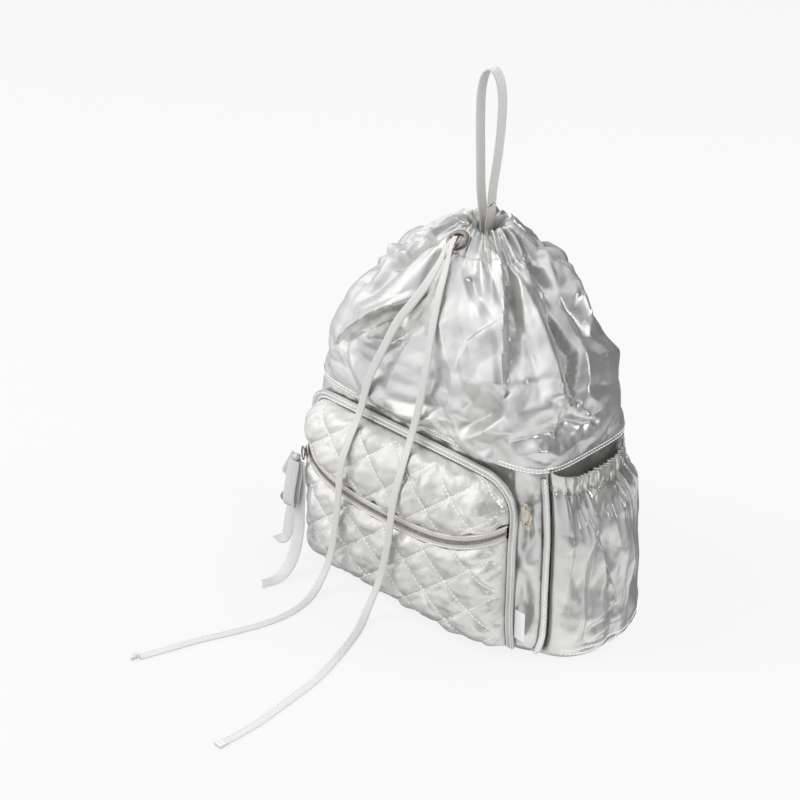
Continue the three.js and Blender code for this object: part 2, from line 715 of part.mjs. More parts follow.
ribbonBand("bow_tail_short", 14, [
  { x: -5, y: 3.1, drop: 0.018, faceX: 0, faceY: -1, faceZ: 0 },
  { x: -7, y: 3.2, drop: 0.27, faceX: 0.1, faceY: -1, faceZ: 0 },
  { x: -7, y: 0.5, drop: 0.46, faceX: 0.1, faceY: -1, faceZ: 0 },
  { x: -6, y: -6, drop: 0.62, faceX: 0.1, faceY: -1, faceZ: 0.3 },
  { x: -5, y: -11, drop: 0.75, faceX: 0, faceY: -1, faceZ: 0.4 },
  { x: -8, y: -13, drop: 0.79, faceX: 0, faceY: -0.7, faceZ: 0.8 },
  { x: -13, y: -13, drop: 0.78, faceX: -0.3, faceY: -0.3, faceZ: 1 },
]);

const bell = addPiece("bell", new THREE.SphereGeometry(bellRadius, 10, 7), nickel);
bell.position.copy(knotPlace).add(new THREE.Vector3(-ribbonWidth / 2 - bellRadius - 7.4, 0.5, -knotPlace.z * 0.46));

// Side pocket: rise is a share of its height, bulge of its greatest stand off the body.
const sideSections = [
  { rise: 0.005, bulge: 0.15, lean: 1.1 },
  { rise: 0.0025, bulge: 0.7, lean: 1.12 },
  { rise: 0.008, bulge: 1.08, lean: 1.12 },
  { rise: 0.06, bulge: 1.1, lean: 1.1 },
  { rise: 0.22, bulge: 1, lean: 1.06 },
  { rise: 0.45, bulge: 0.98, lean: 1.03 },
  { rise: 0.68, bulge: 0.88, lean: 1 },
  { rise: 0.85, bulge: 0.7, lean: 1 },
  { rise: 0.91, bulge: 0.6, lean: 1 },
  { rise: 1, bulge: 0.64, lean: 1 },
];

function sidePoint(across, up, { side, front, bulge }) {
  const row = rowAt(sideSections, up * (sideSections.length - 1));
  const place = (across - 0.5) * 2 * side;
  const y = place * (place < 0 ? front * row.lean : sidePocketRear);
  const round = (1 - Math.min(Math.abs(place), 1) ** 2.6) ** 0.55;
  const fold = Math.cos(Math.PI * (sideFoldCount * place + 0.7 * Math.sin(4 * place)));
  const lift = ((sideFoldDepth * bulge) / sidePocketBulge) * fold * round * smooth(0.2, 0.8, row.rise);
  const dip = 1 - 0.05 * round * smooth(0.6, 1, row.rise);
  const height = sidePocketHeight * row.rise * dip;
  const stand = 3 * pieceGap + clothWall + bulge * row.bulge * round + lift;
  return new THREE.Vector3(side * (sideReach(y, height) + stand), y, height);
}

function addSidePocket(name, form) {
  const pocket = clothSolid({
    surface: (across, up) => sidePoint(across, up, form),
    columns: form.columns,
    rows: sideSections.length - 1,
    thickness: clothWall,
    settle: (point) => {
      const wall = sideReach(point.y, point.z) + 2 * pieceGap;
      const reach = Math.max(form.side * point.x, wall);
      return point.setX(form.side * reach).setZ(Math.max(point.z, clothWall + pieceGap));
    },
  });
  addPiece(name, pocket, cloth);
}
addSidePocket("side_pocket_right", { side: 1, front: sidePocketFront, bulge: sidePocketBulge, columns: 18 });
addSidePocket("side_pocket_left", { side: -1, front: hiddenFront, bulge: hiddenBulge, columns: 10 });

// Bound seam at the front edge of each side pocket.
function addSideSeam(name, side, front) {
  const points = [];
  const facings = [];
  for (let row = 2; row < sideSections.length; row++) {
    const { rise, lean } = sideSections[row];
    const height = Math.min(Math.max(sidePocketHeight * rise, sideSeamWidth / 2), sidePocketHeight - sideSeamWidth);
    const y = -front * lean - 2 * pieceGap - sideSeamWidth / 2;
    const slope = (sideReach(y + 1, height) - sideReach(y - 1, height)) / 2;
    const facing = new THREE.Vector3(side, -slope, 0).normalize();
    const stand = sideSeamThickness / 2 + 5 * pieceGap;
    points.push(new THREE.Vector3(side * sideReach(y, height), y, height).addScaledVector(facing, stand));
    facings.push(facing);
  }
  addPiece(name, band(bandSection(sideSeamWidth, sideSeamThickness), points, facings, 8), cloth);
}
addSideSeam("side_seam_right", 1, sidePocketFront);
addSideSeam("side_seam_left", -1, hiddenFront);

// Metal ring in its cloth tab, beside the pocket's right edge.
const ringX = pocketWidth / 2 + 2 * bindingOut - pocketLeft + ringWire;
const ringFace = -frontReach(ringX - ringWire, ringHeight) - ringWire / 2 - tabThickness - 4 * pieceGap;
const ringOuter = new THREE.Shape();
ringOuter.moveTo(0, -ringWidth / 2);
ringOuter.quadraticCurveTo(ringReach, -ringWidth / 2, ringReach, 0);
ringOuter.quadraticCurveTo(ringReach, ringWidth / 2, 0, ringWidth / 2);
const ringInner = new THREE.Path();
const ringInnerHalf = ringWidth / 2 - ringWire;
ringInner.moveTo(ringWire, -ringInnerHalf);
ringInner.quadraticCurveTo(ringReach - ringWire, -ringInnerHalf, ringReach - ringWire, 0);
ringInner.quadraticCurveTo(ringReach - ringWire, ringInnerHalf, ringWire, ringInnerHalf);
ringOuter.holes.push(ringInner);
const ringSolid = new THREE.ExtrudeGeometry(ringOuter, { depth: ringWire, bevelEnabled: false, curveSegments: 6 });
const dRing = addPiece("d_ring", ringSolid.translate(0, 0, -ringWire / 2).rotateX(Math.PI / 2), paleMetal);
dRing.position.set(ringX, ringFace, ringHeight);

// Laces. Their points are chosen by hand, from the eyelet down the front and over the surface to the end.
const laceLeftPoints = [
  [-1, -23, 348],
  [-1.5, -32.6, 342.4],
  [0, -43, 331],
  [-3, -54.5, 315],
  [-11, -64, 297],
  [-22, -71, 278],
  [-34, -77, 249],
  [-48, -80.5, 217],
  [-58, -85, 175],
  [-57, -99, 155],
  [-57, -108, 136],
  [-62, -110.5, 84],
  [-68, -116, 29],
  [-69, -128, 9],
  [-65, -144, 2],
  [-61, -170, 1.2],
  [-64, -195, 1.2],
  [-75, -227, 1.2],
  [-88, -257, 1.2],
  [-99, -289, 1.2],
  [-107, -312, 1.2],
];
const laceRightPoints = [
  [1, -24.2, 350],
  [5, -34, 344.4],
  [10, -45.5, 330],
  [14, -58, 311],
  [17, -69, 283],
  [18, -77, 250],
  [14, -80, 217],
  [7, -84.5, 178],
  [10, -99, 154],
  [9, -108.5, 125],
  [4, -110.5, 81],
  [-4, -114, 36],
  [-6, -128, 9],
  [2, -146, 2],
  [17, -185, 1.2],
  [28, -222, 1.2],
  [33, -260, 1.2],
  [37, -303, 1.2],
  [36, -335, 1.2],
];

function lacePoints(list) {
  return list.map(([x, y, z]) => new THREE.Vector3(x, y, z));
}

// A lace lies over the eyelet's edge, then looks forwards while it hangs and upwards once it lies.
function laceFacings(points) {
  return points.map((point, index) => {
    if (index < 2) return eyeletOut;
    return towardsFront.clone().lerp(upwards, smooth(60, 4, point.z) * 0.98 + 0.02).normalize();
  });
}

function addLace(name, list) {
  const points = lacePoints(list);
  const curve = band(bandSection(laceWidth, laceThickness), points, laceFacings(points), 34);
  addPiece(name, curve, laceWeave);
}
addLace("lace_left", laceLeftPoints);
addLace("lace_right", laceRightPoints);

// Small knot at the end of the left lace and folded end of the right one.
const leftEnd = lacePoints(laceLeftPoints).at(-1);
const leftRun = leftEnd.clone().sub(lacePoints(laceLeftPoints).at(-2)).normalize();
const laceKnot = addPiece("lace_left_knot", new THREE.SphereGeometry(knotRadius, 8, 6), laceWeave);
laceKnot.position.copy(leftEnd).addScaledVector(leftRun, knotRadius).setZ(knotRadius + pieceGap);

const rightEnd = lacePoints(laceRightPoints).at(-1);
const rightRun = rightEnd.clone().sub(lacePoints(laceRightPoints).at(-2)).normalize();
const foldedEnd = addPiece("lace_right_end", new THREE.BoxGeometry(laceFold, laceWidth + 1, 2 * laceThickness), laceWeave);
foldedEnd.position.copy(rightEnd).addScaledVector(rightRun, laceFold / 2 + pieceGap).setZ(laceThickness + pieceGap);
foldedEnd.rotation.z = Math.atan2(rightRun.y, rightRun.x);

// Webbing loop. Its legs are sewn inside the back of the mouth. across is a share of the loop's width,
// up of its height.
const loopStops = [
  { across: -0.12, up: -1 },
  { across: -0.13, up: 0 },
  { across: -0.17, up: 0.2 },
  { across: -0.22, up: 0.45 },
  { across: -0.26, up: 0.68 },
  { across: -0.22, up: 0.86 },
  { across: -0.03, up: 0.965 },
  { across: 0.28, up: 1 },
  { across: 0.55, up: 0.955 },
  { across: 0.7, up: 0.85 },
  { across: 0.7, up: 0.7 },
  { across: 0.58, up: 0.48 },
  { across: 0.38, up: 0.25 },
  { across: 0.2, up: 0.06 },
  { across: 0.12, up: 0 },
  { across: 0.12, up: -1 },
];
const lipBack = mouthBack + mix(mouthDepth / 2, halfDepth, upperSections.at(-1).depth);
const loopSeat = lipBack - loopWebbing / 2 - 3 * pieceGap;
const loopPoints = loopStops.map(({ across, up }) => {
  const height = up < 0 ? rimHeight + loopDepth * up : rimHeight + loopHeight * up;
  const sway = smooth(0, 0.25, up) * (loopSeat - mouthBack);
  return new THREE.Vector3(loopWidth * across, loopSeat - sway, height);
});
const loopMiddle = new THREE.Vector3(loopWidth * 0.29, 0, rimHeight + loopHeight * 0.8);
const loopFacings = loopPoints.map((point) => {
  const out = point.clone().sub(loopMiddle).setY(0);
  if (point.z < loopMiddle.z) out.setZ(0);
  return out.normalize();
});
addPiece("loop_handle", band(plainSection(loopWebbing, loopThickness), loopPoints, loopFacings, 30), webbing);

// Tab round the ring's straight side, and the blank label below it.
const tab = addPiece("d_ring_tab", new THREE.BoxGeometry(tabReach, tabThickness, tabLength), cloth);
tab.position.set(ringX + tabReach / 2 - ringWire, -frontReach(ringX - ringWire, ringHeight) - pieceGap - tabThickness / 2, ringHeight);

const labelX = pocketWidth / 2 + bindingOut + bindingWidth / 2 + pieceGap - pocketLeft + labelReach / 2;
const label = addPiece("label", new THREE.BoxGeometry(labelReach, 2 * labelThickness, labelHeight), whiteTape);
label.position.set(labelX, -frontReach(labelX - labelReach / 2, labelMiddle) - 3 * pieceGap - labelThickness, labelMiddle);

// Shoulder straps on the back. across and down are shares of the strap's spread and length, off of its bow.
const strapStops = [
  { across: 0.72, down: 0, off: 0 },
  { across: 0.86, down: 0.12, off: 0.55 },
  { across: 1.02, down: 0.32, off: 0.95 },
  { across: 1.1, down: 0.52, off: 1 },
  { across: 1.1, down: 0.72, off: 0.8 },
  { across: 1.02, down: 0.88, off: 0.4 },
  { across: 0.95, down: 1, off: 0.1 },
];

function addStrap(name, webbingName, side) {
  const points = strapStops.map(({ across, down, off }) => {
    const x = strapSpread * across;
    const z = strapTop - strapLength * down;
    const stand = strapThickness / 2 + 4 * pieceGap + strapBow * off;
    return new THREE.Vector3(side * x, frontReach(x - strapWidth / 2, z) + stand, z);
  });
  const strap = band(bandSection(strapWidth, strapThickness), points, points.map(() => towardsBack), 12);
  addPiece(name, strap, cloth);

  const foot = points.at(-1);
  const webbingTop = foot.z - 2 * pieceGap;
  const webbingPoints = [0, 0.33, 0.66, 1].map((share) => {
    const x = mix(Math.abs(foot.x), strapFootX, share);
    const z = mix(webbingTop, webbingFoot, share);
    return new THREE.Vector3(side * x, frontReach(x - strapWebbing / 2, z) + strapWebbingThickness / 2 + 3 * pieceGap, z);
  });
  const webbingBand = band(
    plainSection(strapWebbing, strapWebbingThickness),
    webbingPoints,
    webbingPoints.map(() => towardsBack),
    5,
  );
  addPiece(webbingName, webbingBand, webbing);
}
addStrap("shoulder_strap_right", "strap_webbing_right", 1);
addStrap("shoulder_strap_left", "strap_webbing_left", -1);

export default backpack;
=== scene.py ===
# Silver nylon drawstring backpack, dressed over its fixed CAD frame. Sizes are in millimetres until mm.
import math
import bpy
import bmesh
import numpy as np
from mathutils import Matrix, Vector, kdtree


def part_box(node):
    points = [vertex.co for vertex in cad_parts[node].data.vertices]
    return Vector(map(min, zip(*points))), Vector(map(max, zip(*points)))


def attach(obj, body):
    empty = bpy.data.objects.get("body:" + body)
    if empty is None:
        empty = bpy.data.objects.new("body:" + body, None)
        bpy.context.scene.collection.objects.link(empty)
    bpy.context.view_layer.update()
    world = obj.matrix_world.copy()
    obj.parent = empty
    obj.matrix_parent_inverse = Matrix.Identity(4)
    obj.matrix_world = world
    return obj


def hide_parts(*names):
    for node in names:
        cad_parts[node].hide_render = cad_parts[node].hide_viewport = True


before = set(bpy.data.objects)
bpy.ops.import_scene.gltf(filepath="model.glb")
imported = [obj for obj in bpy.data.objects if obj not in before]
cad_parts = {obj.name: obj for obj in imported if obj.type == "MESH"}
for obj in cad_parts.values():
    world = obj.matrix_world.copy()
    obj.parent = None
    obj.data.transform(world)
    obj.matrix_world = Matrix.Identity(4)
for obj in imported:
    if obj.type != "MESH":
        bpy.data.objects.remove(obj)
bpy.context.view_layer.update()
mm = 0.001
scene = bpy.context.scene
dice = np.random.default_rng(11)

# camera, lights and floor
view = {"eye": (1020.2, -1132.3, 1023.5), "aim": (-19.8, -70.9, 200), "lens": 86.31, "sensor": 36}
cameraData = bpy.data.cameras.new("photoCamera")
cameraData.lens = view["lens"]
cameraData.sensor_width = view["sensor"]
camera = bpy.data.objects.new("photoCamera", cameraData)
camera.location = Vector(view["eye"]) * mm
camera.rotation_euler = (Vector(view["aim"]) - Vector(view["eye"])).to_track_quat("-Z", "Y").to_euler()
scene.collection.objects.link(camera)
scene.camera = camera


def linearColor(code):
    parts = [int(code[i : i + 2], 16) / 255 for i in (1, 3, 5)]
    return [c / 12.92 if c <= 0.04045 else ((c + 0.055) / 1.055) ** 2.4 for c in parts] + [1.0]


# soft boxes: where each stands, its size, its power in watts and whether the cloth mirrors it
softBoxes = [
    {"name": "keyBox", "at": (-1700, -1500, 2300), "size": (1400, 1400), "power": 68, "mirrored": False},
    {"name": "rightBox", "at": (2300, -300, 1100), "size": (420, 1500), "power": 12, "mirrored": True},
    {"name": "topBox", "at": (300, 900, 2600), "size": (800, 800), "power": 24, "mirrored": False},
    {"name": "rimBox", "at": (1650, 1450, 1150), "size": (420, 1000), "power": 19, "mirrored": False},
]
for box in softBoxes:
    light = bpy.data.lights.new(box["name"], "AREA")
    light.shape = "RECTANGLE"
    light.size, light.size_y = box["size"][0] * mm, box["size"][1] * mm
    light.energy = box["power"]
    lamp = bpy.data.objects.new(box["name"], light)
    lamp.location = Vector(box["at"]) * mm
    lamp.rotation_euler = (Vector((0, 0, 180)) - Vector(box["at"])).to_track_quat("-Z", "Y").to_euler()
    lamp.visible_glossy = box["mirrored"]
    scene.collection.objects.link(lamp)

world = bpy.data.worlds.new("studio")
world.use_nodes = True
scene.world = world
scene.view_settings.view_transform = "Standard"


# materials
def addNode(tree, kind, inputs=None, **settings):
    # a node or a socket given as an input is linked, anything else is set
    node = tree.nodes.new("ShaderNode" + kind)
    for key, value in settings.items():
        setattr(node, key, value)
    for key, value in (inputs or {}).items():
        value = value.outputs[0] if isinstance(value, bpy.types.Node) else value
        if isinstance(value, bpy.types.NodeSocket):
            tree.links.new(value, node.inputs[key])
        else:
            node.inputs[key].default_value = value
    return node


def rampStops(node, stops):
    ramp = node.color_ramp
    while len(ramp.elements) < len(stops):
        ramp.elements.new(0.5)
    for element, (place, color) in zip(ramp.elements, stops):
        element.position = place
        element.color = linearColor(color)
    return node.outputs["Color"]


world.node_tree.nodes["Background"].inputs["Color"].default_value = linearColor("#f4f5f7")
world.node_tree.nodes["Background"].inputs["Strength"].default_value = 0.93
world.cycles_visibility.glossy = False  # the coated cloth mirrors the light tent below instead
print("camera and lights set")


def newMaterial(name, look):
    material = bpy.data.materials.new(name)
    material.use_nodes = True
    tree = material.node_tree
    surface = tree.nodes["Principled BSDF"]
    for socket, value in look.items():
        surface.inputs[socket].default_value = linearColor(value) if isinstance(value, str) else value
    return material, tree, surface


def colorFrom(tree, surface, value, stops):
    shade = addNode(tree, "ValToRGB", {"Fac": value})
    tree.links.new(rampStops(shade, stops), surface.inputs["Base Color"])


def reliefFrom(tree, surface, height, depthMm, strength, below=None):
    inputs = {"Height": height, "Distance": depthMm * mm, "Strength": strength}
    bump = addNode(tree, "Bump", inputs if below is None else {**inputs, "Normal": below})
    tree.links.new(bump.outputs["Normal"], surface.inputs["Normal"])
    return bump


# Silver coated nylon taffeta: a thin metal-like film on a tight weave, so broad pearly highlights and
# small crisp creases. The weave, 0.3 mm, is too fine to show and only breaks up the gloss.
def coatedNylon(name, darkHex, lightHex, look, creaseMm, creaseDepth):
    material, tree, surface = newMaterial(name, look)
    place = addNode(tree, "TexCoord").outputs["Object"]
    cloudy = addNode(tree, "TexNoise", {"Vector": place, "Scale": 1 / (60 * mm), "Detail": 3.0, "Roughness": 0.55})
    colorFrom(tree, surface, cloudy, [(0.3, darkHex), (0.7, lightHex)])
    gloss = addNode(tree, "TexNoise", {"Vector": place, "Scale": 1 / (9 * mm), "Detail": 4.0})
    rough = look["Roughness"]
    dull = addNode(tree, "MapRange", {"Value": gloss, "From Min": 0.3, "From Max": 0.7, "To Min": rough - 0.05,
        "To Max": rough + 0.07})
    tree.links.new(dull.outputs["Result"], surface.inputs["Roughness"])
    # crushed facets: straight-sided cells on a warped place, deeper in some parts than in others
    warp = addNode(tree, "TexNoise", {"Vector": place, "Scale": 1 / (1.6 * creaseMm * mm), "Detail": 2.0})
    moved = addNode(tree, "VectorMath", {0: warp.outputs["Color"], 1: (1.5 * creaseMm * mm,) * 3, 2: place},
        operation="MULTIPLY_ADD")
    crease = addNode(tree, "TexVoronoi", {"Vector": moved, "Scale": 1 / (creaseMm * mm)}, feature="DISTANCE_TO_EDGE")
    broken = addNode(tree, "Math", {0: crease, 1: cloudy}, operation="MULTIPLY")
    weave = addNode(tree, "TexNoise", {"Vector": place, "Scale": 1 / (0.8 * mm), "Detail": 2.0})
    lowBump = reliefFrom(tree, surface, broken, creaseDepth, 0.6)
    reliefFrom(tree, surface, weave, 0.09, 0.6, lowBump)
    return material


# Woven tapes carry their length and width in millimetres in the map called cloth.
# ribs run across the tape; a herringbone turns in the middle of the tape
def wovenTape(name, darkHex, lightHex, look, ribMm, slant=0.0, ribDepth=0.25):
    material, tree, surface = newMaterial(name, look)
    place = addNode(tree, "UVMap", uv_map="cloth").outputs["UV"]
    split = addNode(tree, "SeparateXYZ", {"Vector": place})
    side = addNode(tree, "Math", {0: split.outputs["X"]}, operation="ABSOLUTE")
    lean = addNode(tree, "Math", {0: side, 1: slant, 2: split.outputs["Y"]}, operation="MULTIPLY_ADD")
    turn = addNode(tree, "Math", {0: lean, 1: 2 * math.pi / ribMm}, operation="MULTIPLY")
    rib = addNode(tree, "Math", {0: turn}, operation="SINE")
    cross = addNode(tree, "Math", {0: split.outputs["X"], 1: 2 * math.pi / (ribMm * 0.8)}, operation="MULTIPLY")
    warp = addNode(tree, "Math", {0: cross}, operation="SINE")
    both = addNode(tree, "Math", {0: warp, 1: 0.4, 2: rib}, operation="MULTIPLY_ADD")
    fuzz = addNode(tree, "TexNoise", {"Vector": addNode(tree, "TexCoord").outputs["Object"], "Scale": 1 / (2.5 * mm),
        "Detail": 3.0})
    fuzzSoft = addNode(tree, "Math", {0: fuzz, 1: 0.35, 2: 0.32}, operation="MULTIPLY_ADD")
    tone = addNode(tree, "Math", {0: both, 1: 0.16, 2: fuzzSoft}, operation="MULTIPLY_ADD")
    colorFrom(tree, surface, tone, [(0.2, darkHex), (0.75, lightHex)])
    reliefFrom(tree, surface, tone, ribDepth, 0.9)
    return material


# Plated zamak: smooth metal with faint polishing marks and a duller film in places.
def platedMetal(name, darkHex, lightHex, look):
    material, tree, surface = newMaterial(name, look)
    place = addNode(tree, "TexCoord").outputs["Object"]
    film = addNode(tree, "TexNoise", {"Vector": place, "Scale": 1 / (3 * mm), "Detail": 5.0})
    colorFrom(tree, surface, film, [(0.35, darkHex), (0.65, lightHex)])
    dull = addNode(tree, "MapRange", {"Value": film, "To Min": look["Roughness"] - 0.06,
        "To Max": look["Roughness"] + 0.12})
    tree.links.new(dull.outputs["Result"], surface.inputs["Roughness"])
    reliefFrom(tree, surface, film, 0.03, 0.4)
    return material


# Polyester satin: long floats along the ribbon give a soft stripe of light.
def satinWeave(name, darkHex, lightHex, look):
    material, tree, surface = newMaterial(name, look)
    place = addNode(tree, "UVMap", uv_map="cloth").outputs["UV"]
    floats = addNode(tree, "Mapping", {"Vector": place, "Scale": (3.6, 0.1, 1.0)})
    threads = addNode(tree, "TexNoise", {"Vector": floats, "Scale": 1.0, "Detail": 2.0})
    colorFrom(tree, surface, threads, [(0.3, darkHex), (0.7, lightHex)])
    reliefFrom(tree, surface, threads, 0.08, 0.6)
    return material


silverNylon = coatedNylon("silverCoatedNylon", "#c6c6c4", "#dededb",
    {"Metallic": 0.88, "Roughness": 0.34, "Sheen Weight": 0.08}, 20, 1.6)
quiltNylon = coatedNylon("silverQuiltNylon", "#c4c3bf", "#dad9d6",
    {"Metallic": 0.66, "Roughness": 0.35, "Sheen Weight": 0.1}, 9, 1.9)
laceTape = wovenTape("wovenPolyesterLace", "#b6b5b3", "#cbcac8",
    {"Metallic": 0.2, "Roughness": 0.5, "Sheen Weight": 0.3}, 1.9, 0.6, 0.08)
ribbedWebbing = wovenTape("ribbedGreyWebbing", "#a5a4a1", "#cbc9c6",
    {"Metallic": 0.2, "Roughness": 0.5, "Sheen Weight": 0.3}, 1.6, 0.0, 0.2)
zipTapeWeave = wovenTape("wovenZipTape", "#a9a7a5", "#c6c4c2", {"Roughness": 0.75, "Sheen Weight": 0.2}, 1.1, 0.6)
coilNylon = platedMetal("mouldedNylonCoil", "#857d78", "#a69f9a", {"Metallic": 0.0, "Roughness": 0.42})
nickel = platedMetal("darkNickelPlate", "#8c8177", "#a99f95", {"Metallic": 1.0, "Roughness": 0.22})
paleNickel = platedMetal("paleGoldNickelPlate", "#b9ac92", "#d9cdb4", {"Metallic": 1.0, "Roughness": 0.24})
satin = satinWeave("silverSatinRibbon", "#b4b4b4", "#cbcbcb",
    {"Metallic": 0.3, "Roughness": 0.4, "Sheen Weight": 0.2})
seamThread = satinWeave("polyesterThread", "#efefec", "#fdfdfb", {"Roughness": 0.5, "Sheen Weight": 0.3})
whiteTape = wovenTape("whiteLabelTape", "#dcdcda", "#f6f6f5", {"Roughness": 0.7, "Sheen Weight": 0.15}, 0.9)
print("materials made")

floorMaterial, _, floorSurface = newMaterial("paleStudioFloor",
    {"Base Color": "#484848", "Roughness": 0.85, "Specular IOR Level": 0.0, "Emission Color": "#ffffff"})
floorSurface.inputs["Emission Strength"].default_value = 0.845
floorMesh = bpy.data.meshes.new("studioFloor")
floorMesh.from_pydata([(-9, -9, -0.0004), (9, -9, -0.0004), (9, 9, -0.0004), (-9, 9, -0.0004)], [], [(0, 1, 2, 3)])
floorMesh.materials.append(floorMaterial)
floor = bpy.data.objects.new("studioFloor", floorMesh)
floor.visible_glossy = False
scene.collection.objects.link(floor)

# light tent that only glossy surfaces see: white on the left and overhead, dim on the right, a graded card below
tentMaterial, tentTree, tentSurface = newMaterial("lightTentCloth",
    {"Base Color": "#000000", "Specular IOR Level": 0.0, "Emission Strength": 1.7})
tentPlace = addNode(tentTree, "VectorMath", {0: addNode(tentTree, "TexCoord").outputs["Object"]},
    operation="NORMALIZE")
lean = addNode(tentTree, "VectorMath", {0: tentPlace, 1: (-0.66, -0.5, 0.56)}, operation="DOT_PRODUCT")
leanShare = addNode(tentTree, "MapRange", {"Value": lean.outputs["Value"], "From Min": -1.0, "From Max": 1.0})
tentRamp = addNode(tentTree, "ValToRGB", {"Fac": leanShare})
height = addNode(tentTree, "SeparateXYZ", {"Vector": tentPlace})
low = addNode(tentTree, "MapRange", {"Value": height.outputs["Z"], "From Min": -0.12, "From Max": -0.42},
    interpolation_type="SMOOTHSTEP")
sideways = addNode(tentTree, "VectorMath", {0: tentPlace, 1: (0.8, -0.6, 0)}, operation="DOT_PRODUCT")
card = addNode(tentTree, "MapRange", {"Value": sideways.outputs["Value"], "From Min": -0.35, "From Max": 0.5,
    "To Min": 0.02, "To Max": 0.66})
both = addNode(tentTree, "Mix", {"Factor": low}, data_type="RGBA", blend_type="LIGHTEN")
tentTree.links.new(card.outputs["Result"], both.inputs["B"])
tentTree.links.new(rampStops(tentRamp, [(0.0, "#444548"), (0.38, "#444548"), (0.55, "#808184"), (0.69, "#a9aaac"),
    (0.8, "#c2c3c5"), (0.9, "#d8d8da"), (1.0, "#ffffff")]), both.inputs["A"])
tentTree.links.new(both.outputs["Result"], tentSurface.inputs["Emission Color"])
tentShape = bmesh.new()
bmesh.ops.create_icosphere(tentShape, subdivisions=4, radius=5)
tentMesh = bpy.data.meshes.new("lightTent")
tentShape.to_mesh(tentMesh)
tentShape.free()
tentMesh.materials.append(tentMaterial)
tentDome = bpy.data.objects.new("lightTent", tentMesh)
tentDome.visible_camera = tentDome.visible_diffuse = tentDome.visible_shadow = tentDome.visible_transmission = False
scene.collection.objects.link(tentDome)


# mesh making
sharpAngle = 50


def putPiece(name, part, material, nodes=()):
    # a part is its points in millimetres, its faces and, where it has one, its flat map
    points, faces, cloth = (*part, None)[:3]
    mesh = bpy.data.meshes.new(name)
    mesh.from_pydata((np.asarray(points, float) * mm).tolist(), [], [tuple(map(int, face)) for face in faces])
    mesh.materials.append(material)
    if cloth is not None:
        layer = mesh.uv_layers.new(name="cloth")
        corners = np.empty(len(mesh.loops), np.int32)
        mesh.loops.foreach_get("vertex_index", corners)
        layer.data.foreach_set("uv", np.asarray(cloth, np.float32)[corners].ravel())
    mesh.polygons.foreach_set("use_smooth", [True] * len(mesh.polygons))
    mesh.validate()
    mesh.set_sharp_from_angle(angle=math.radians(sharpAngle))
    piece = bpy.data.objects.new(name, mesh)
    scene.collection.objects.link(piece)
    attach(piece, "root")
    if nodes:
        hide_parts(*nodes)
    return piece


def gridFaces(columns, rows, wrap):
    wide = columns if wrap else columns + 1
    row, column = np.mgrid[0:rows, 0:columns]
    a = row * wide + column
    b = row * wide + (column + 1) % wide if wrap else a + 1
    return np.stack([a, b, b + wide, a + wide], -1).reshape(-1, 4)


def gridPart(points, wrap, flat=None):
    rows, columns = points.shape[:2]
    faces = gridFaces(columns if wrap else columns - 1, rows - 1, wrap)
    part = points.reshape(-1, 3), [tuple(face) for face in faces.tolist()]
    return part if flat is None else (*part, np.asarray(flat, float).reshape(-1, 2))


def gridNormals(points, wrap):
    if wrap:
        across = alongRing(points.swapaxes(0, 1)).swapaxes(0, 1)
    else:
        across = np.gradient(points, axis=1)
    rising = np.gradient(points, axis=0)
    normal = np.cross(across, rising)
    return normal / np.maximum(np.linalg.norm(normal, axis=-1, keepdims=True), 1e-9)


def smoothStep(start, end, value):
    t = np.clip((np.asarray(value, float) - start) / (end - start), 0, 1)
    return t * t * (3 - 2 * t)


def wavyNoise(a, b, seed, octaves=3):
    # smooth repeatable noise from turned sines, about -1 to 1
    source = np.random.default_rng(seed)
    total = np.zeros(np.broadcast(a, b).shape)
    for octave in range(octaves * 3):
        angle, phase = source.uniform(0, 2 * math.pi, 2)
        pitch = 1.7 ** (octave / 2) * source.uniform(0.8, 1.2)
        total += np.sin((a * math.cos(angle) + b * math.sin(angle)) * pitch + phase) / pitch**0.7
    return total / (octaves * 1.4)


def crumple(points, seed, pitch):
    # crossing sharp folds with flat facets between them, about -1 to 1
    source = np.random.default_rng(seed)
    total = np.zeros(points.shape[:-1])
    for size in (1, 1, 0.62, 0.62, 0.38, 0.38):
        way, bend = unit(source.normal(size=3)), unit(source.normal(size=3))
        start, phase = source.uniform(0, 6, 2)
        across = points @ way / (pitch * size) + 0.5 * np.sin(points @ bend / (pitch * size * 1.2) + phase) + start
        total += size * (np.abs(np.mod(across, 1) * 2 - 1) - 0.5)
    return total


def valuesAt(places, known, columns):
    return np.stack([np.interp(places, known, columns[:, k]) for k in range(3)], 1)


def pairs(across, up):
    return np.stack(np.broadcast_arrays(across, up), -1)


def along(path):
    return unit(np.gradient(path, axis=0))


def alongRing(ring):
    return np.roll(ring, -1, 0) - np.roll(ring, 1, 0)


def reachOf(points):
    return np.r_[0, np.cumsum(np.linalg.norm(np.diff(points, axis=0), axis=1))]


def curveBetween(t, start, startSlope, end, endSlope):
    startPart = (2 * t**3 - 3 * t**2 + 1) * start + (t**3 - 2 * t**2 + t) * startSlope
    return startPart + (3 * t**2 - 2 * t**3) * end + (t**3 - t**2) * endSlope


def smoothPath(points, perSpan):
    points = np.asarray(points, float)
    out = []
    for i in range(len(points) - 1):
        p1, p2 = points[i], points[i + 1]
        p0 = points[i - 1] if i else 2 * p1 - p2
        p3 = points[i + 2] if i + 2 < len(points) else 2 * p2 - p1
        d0, d1, d2 = (max(np.linalg.norm(q - p) ** 0.5, 1e-4) for p, q in ((p0, p1), (p1, p2), (p2, p3)))
        m1 = ((p1 - p0) / d0 - (p2 - p0) / (d0 + d1) + (p2 - p1) / d1) * d1
        m2 = ((p2 - p1) / d1 - (p3 - p1) / (d1 + d2) + (p3 - p2) / d2) * d1
        for t in np.arange(perSpan) / perSpan:
            out.append(curveBetween(t, p1, m1, p2, m2))
    out.append(points[-1])
    return np.array(out)


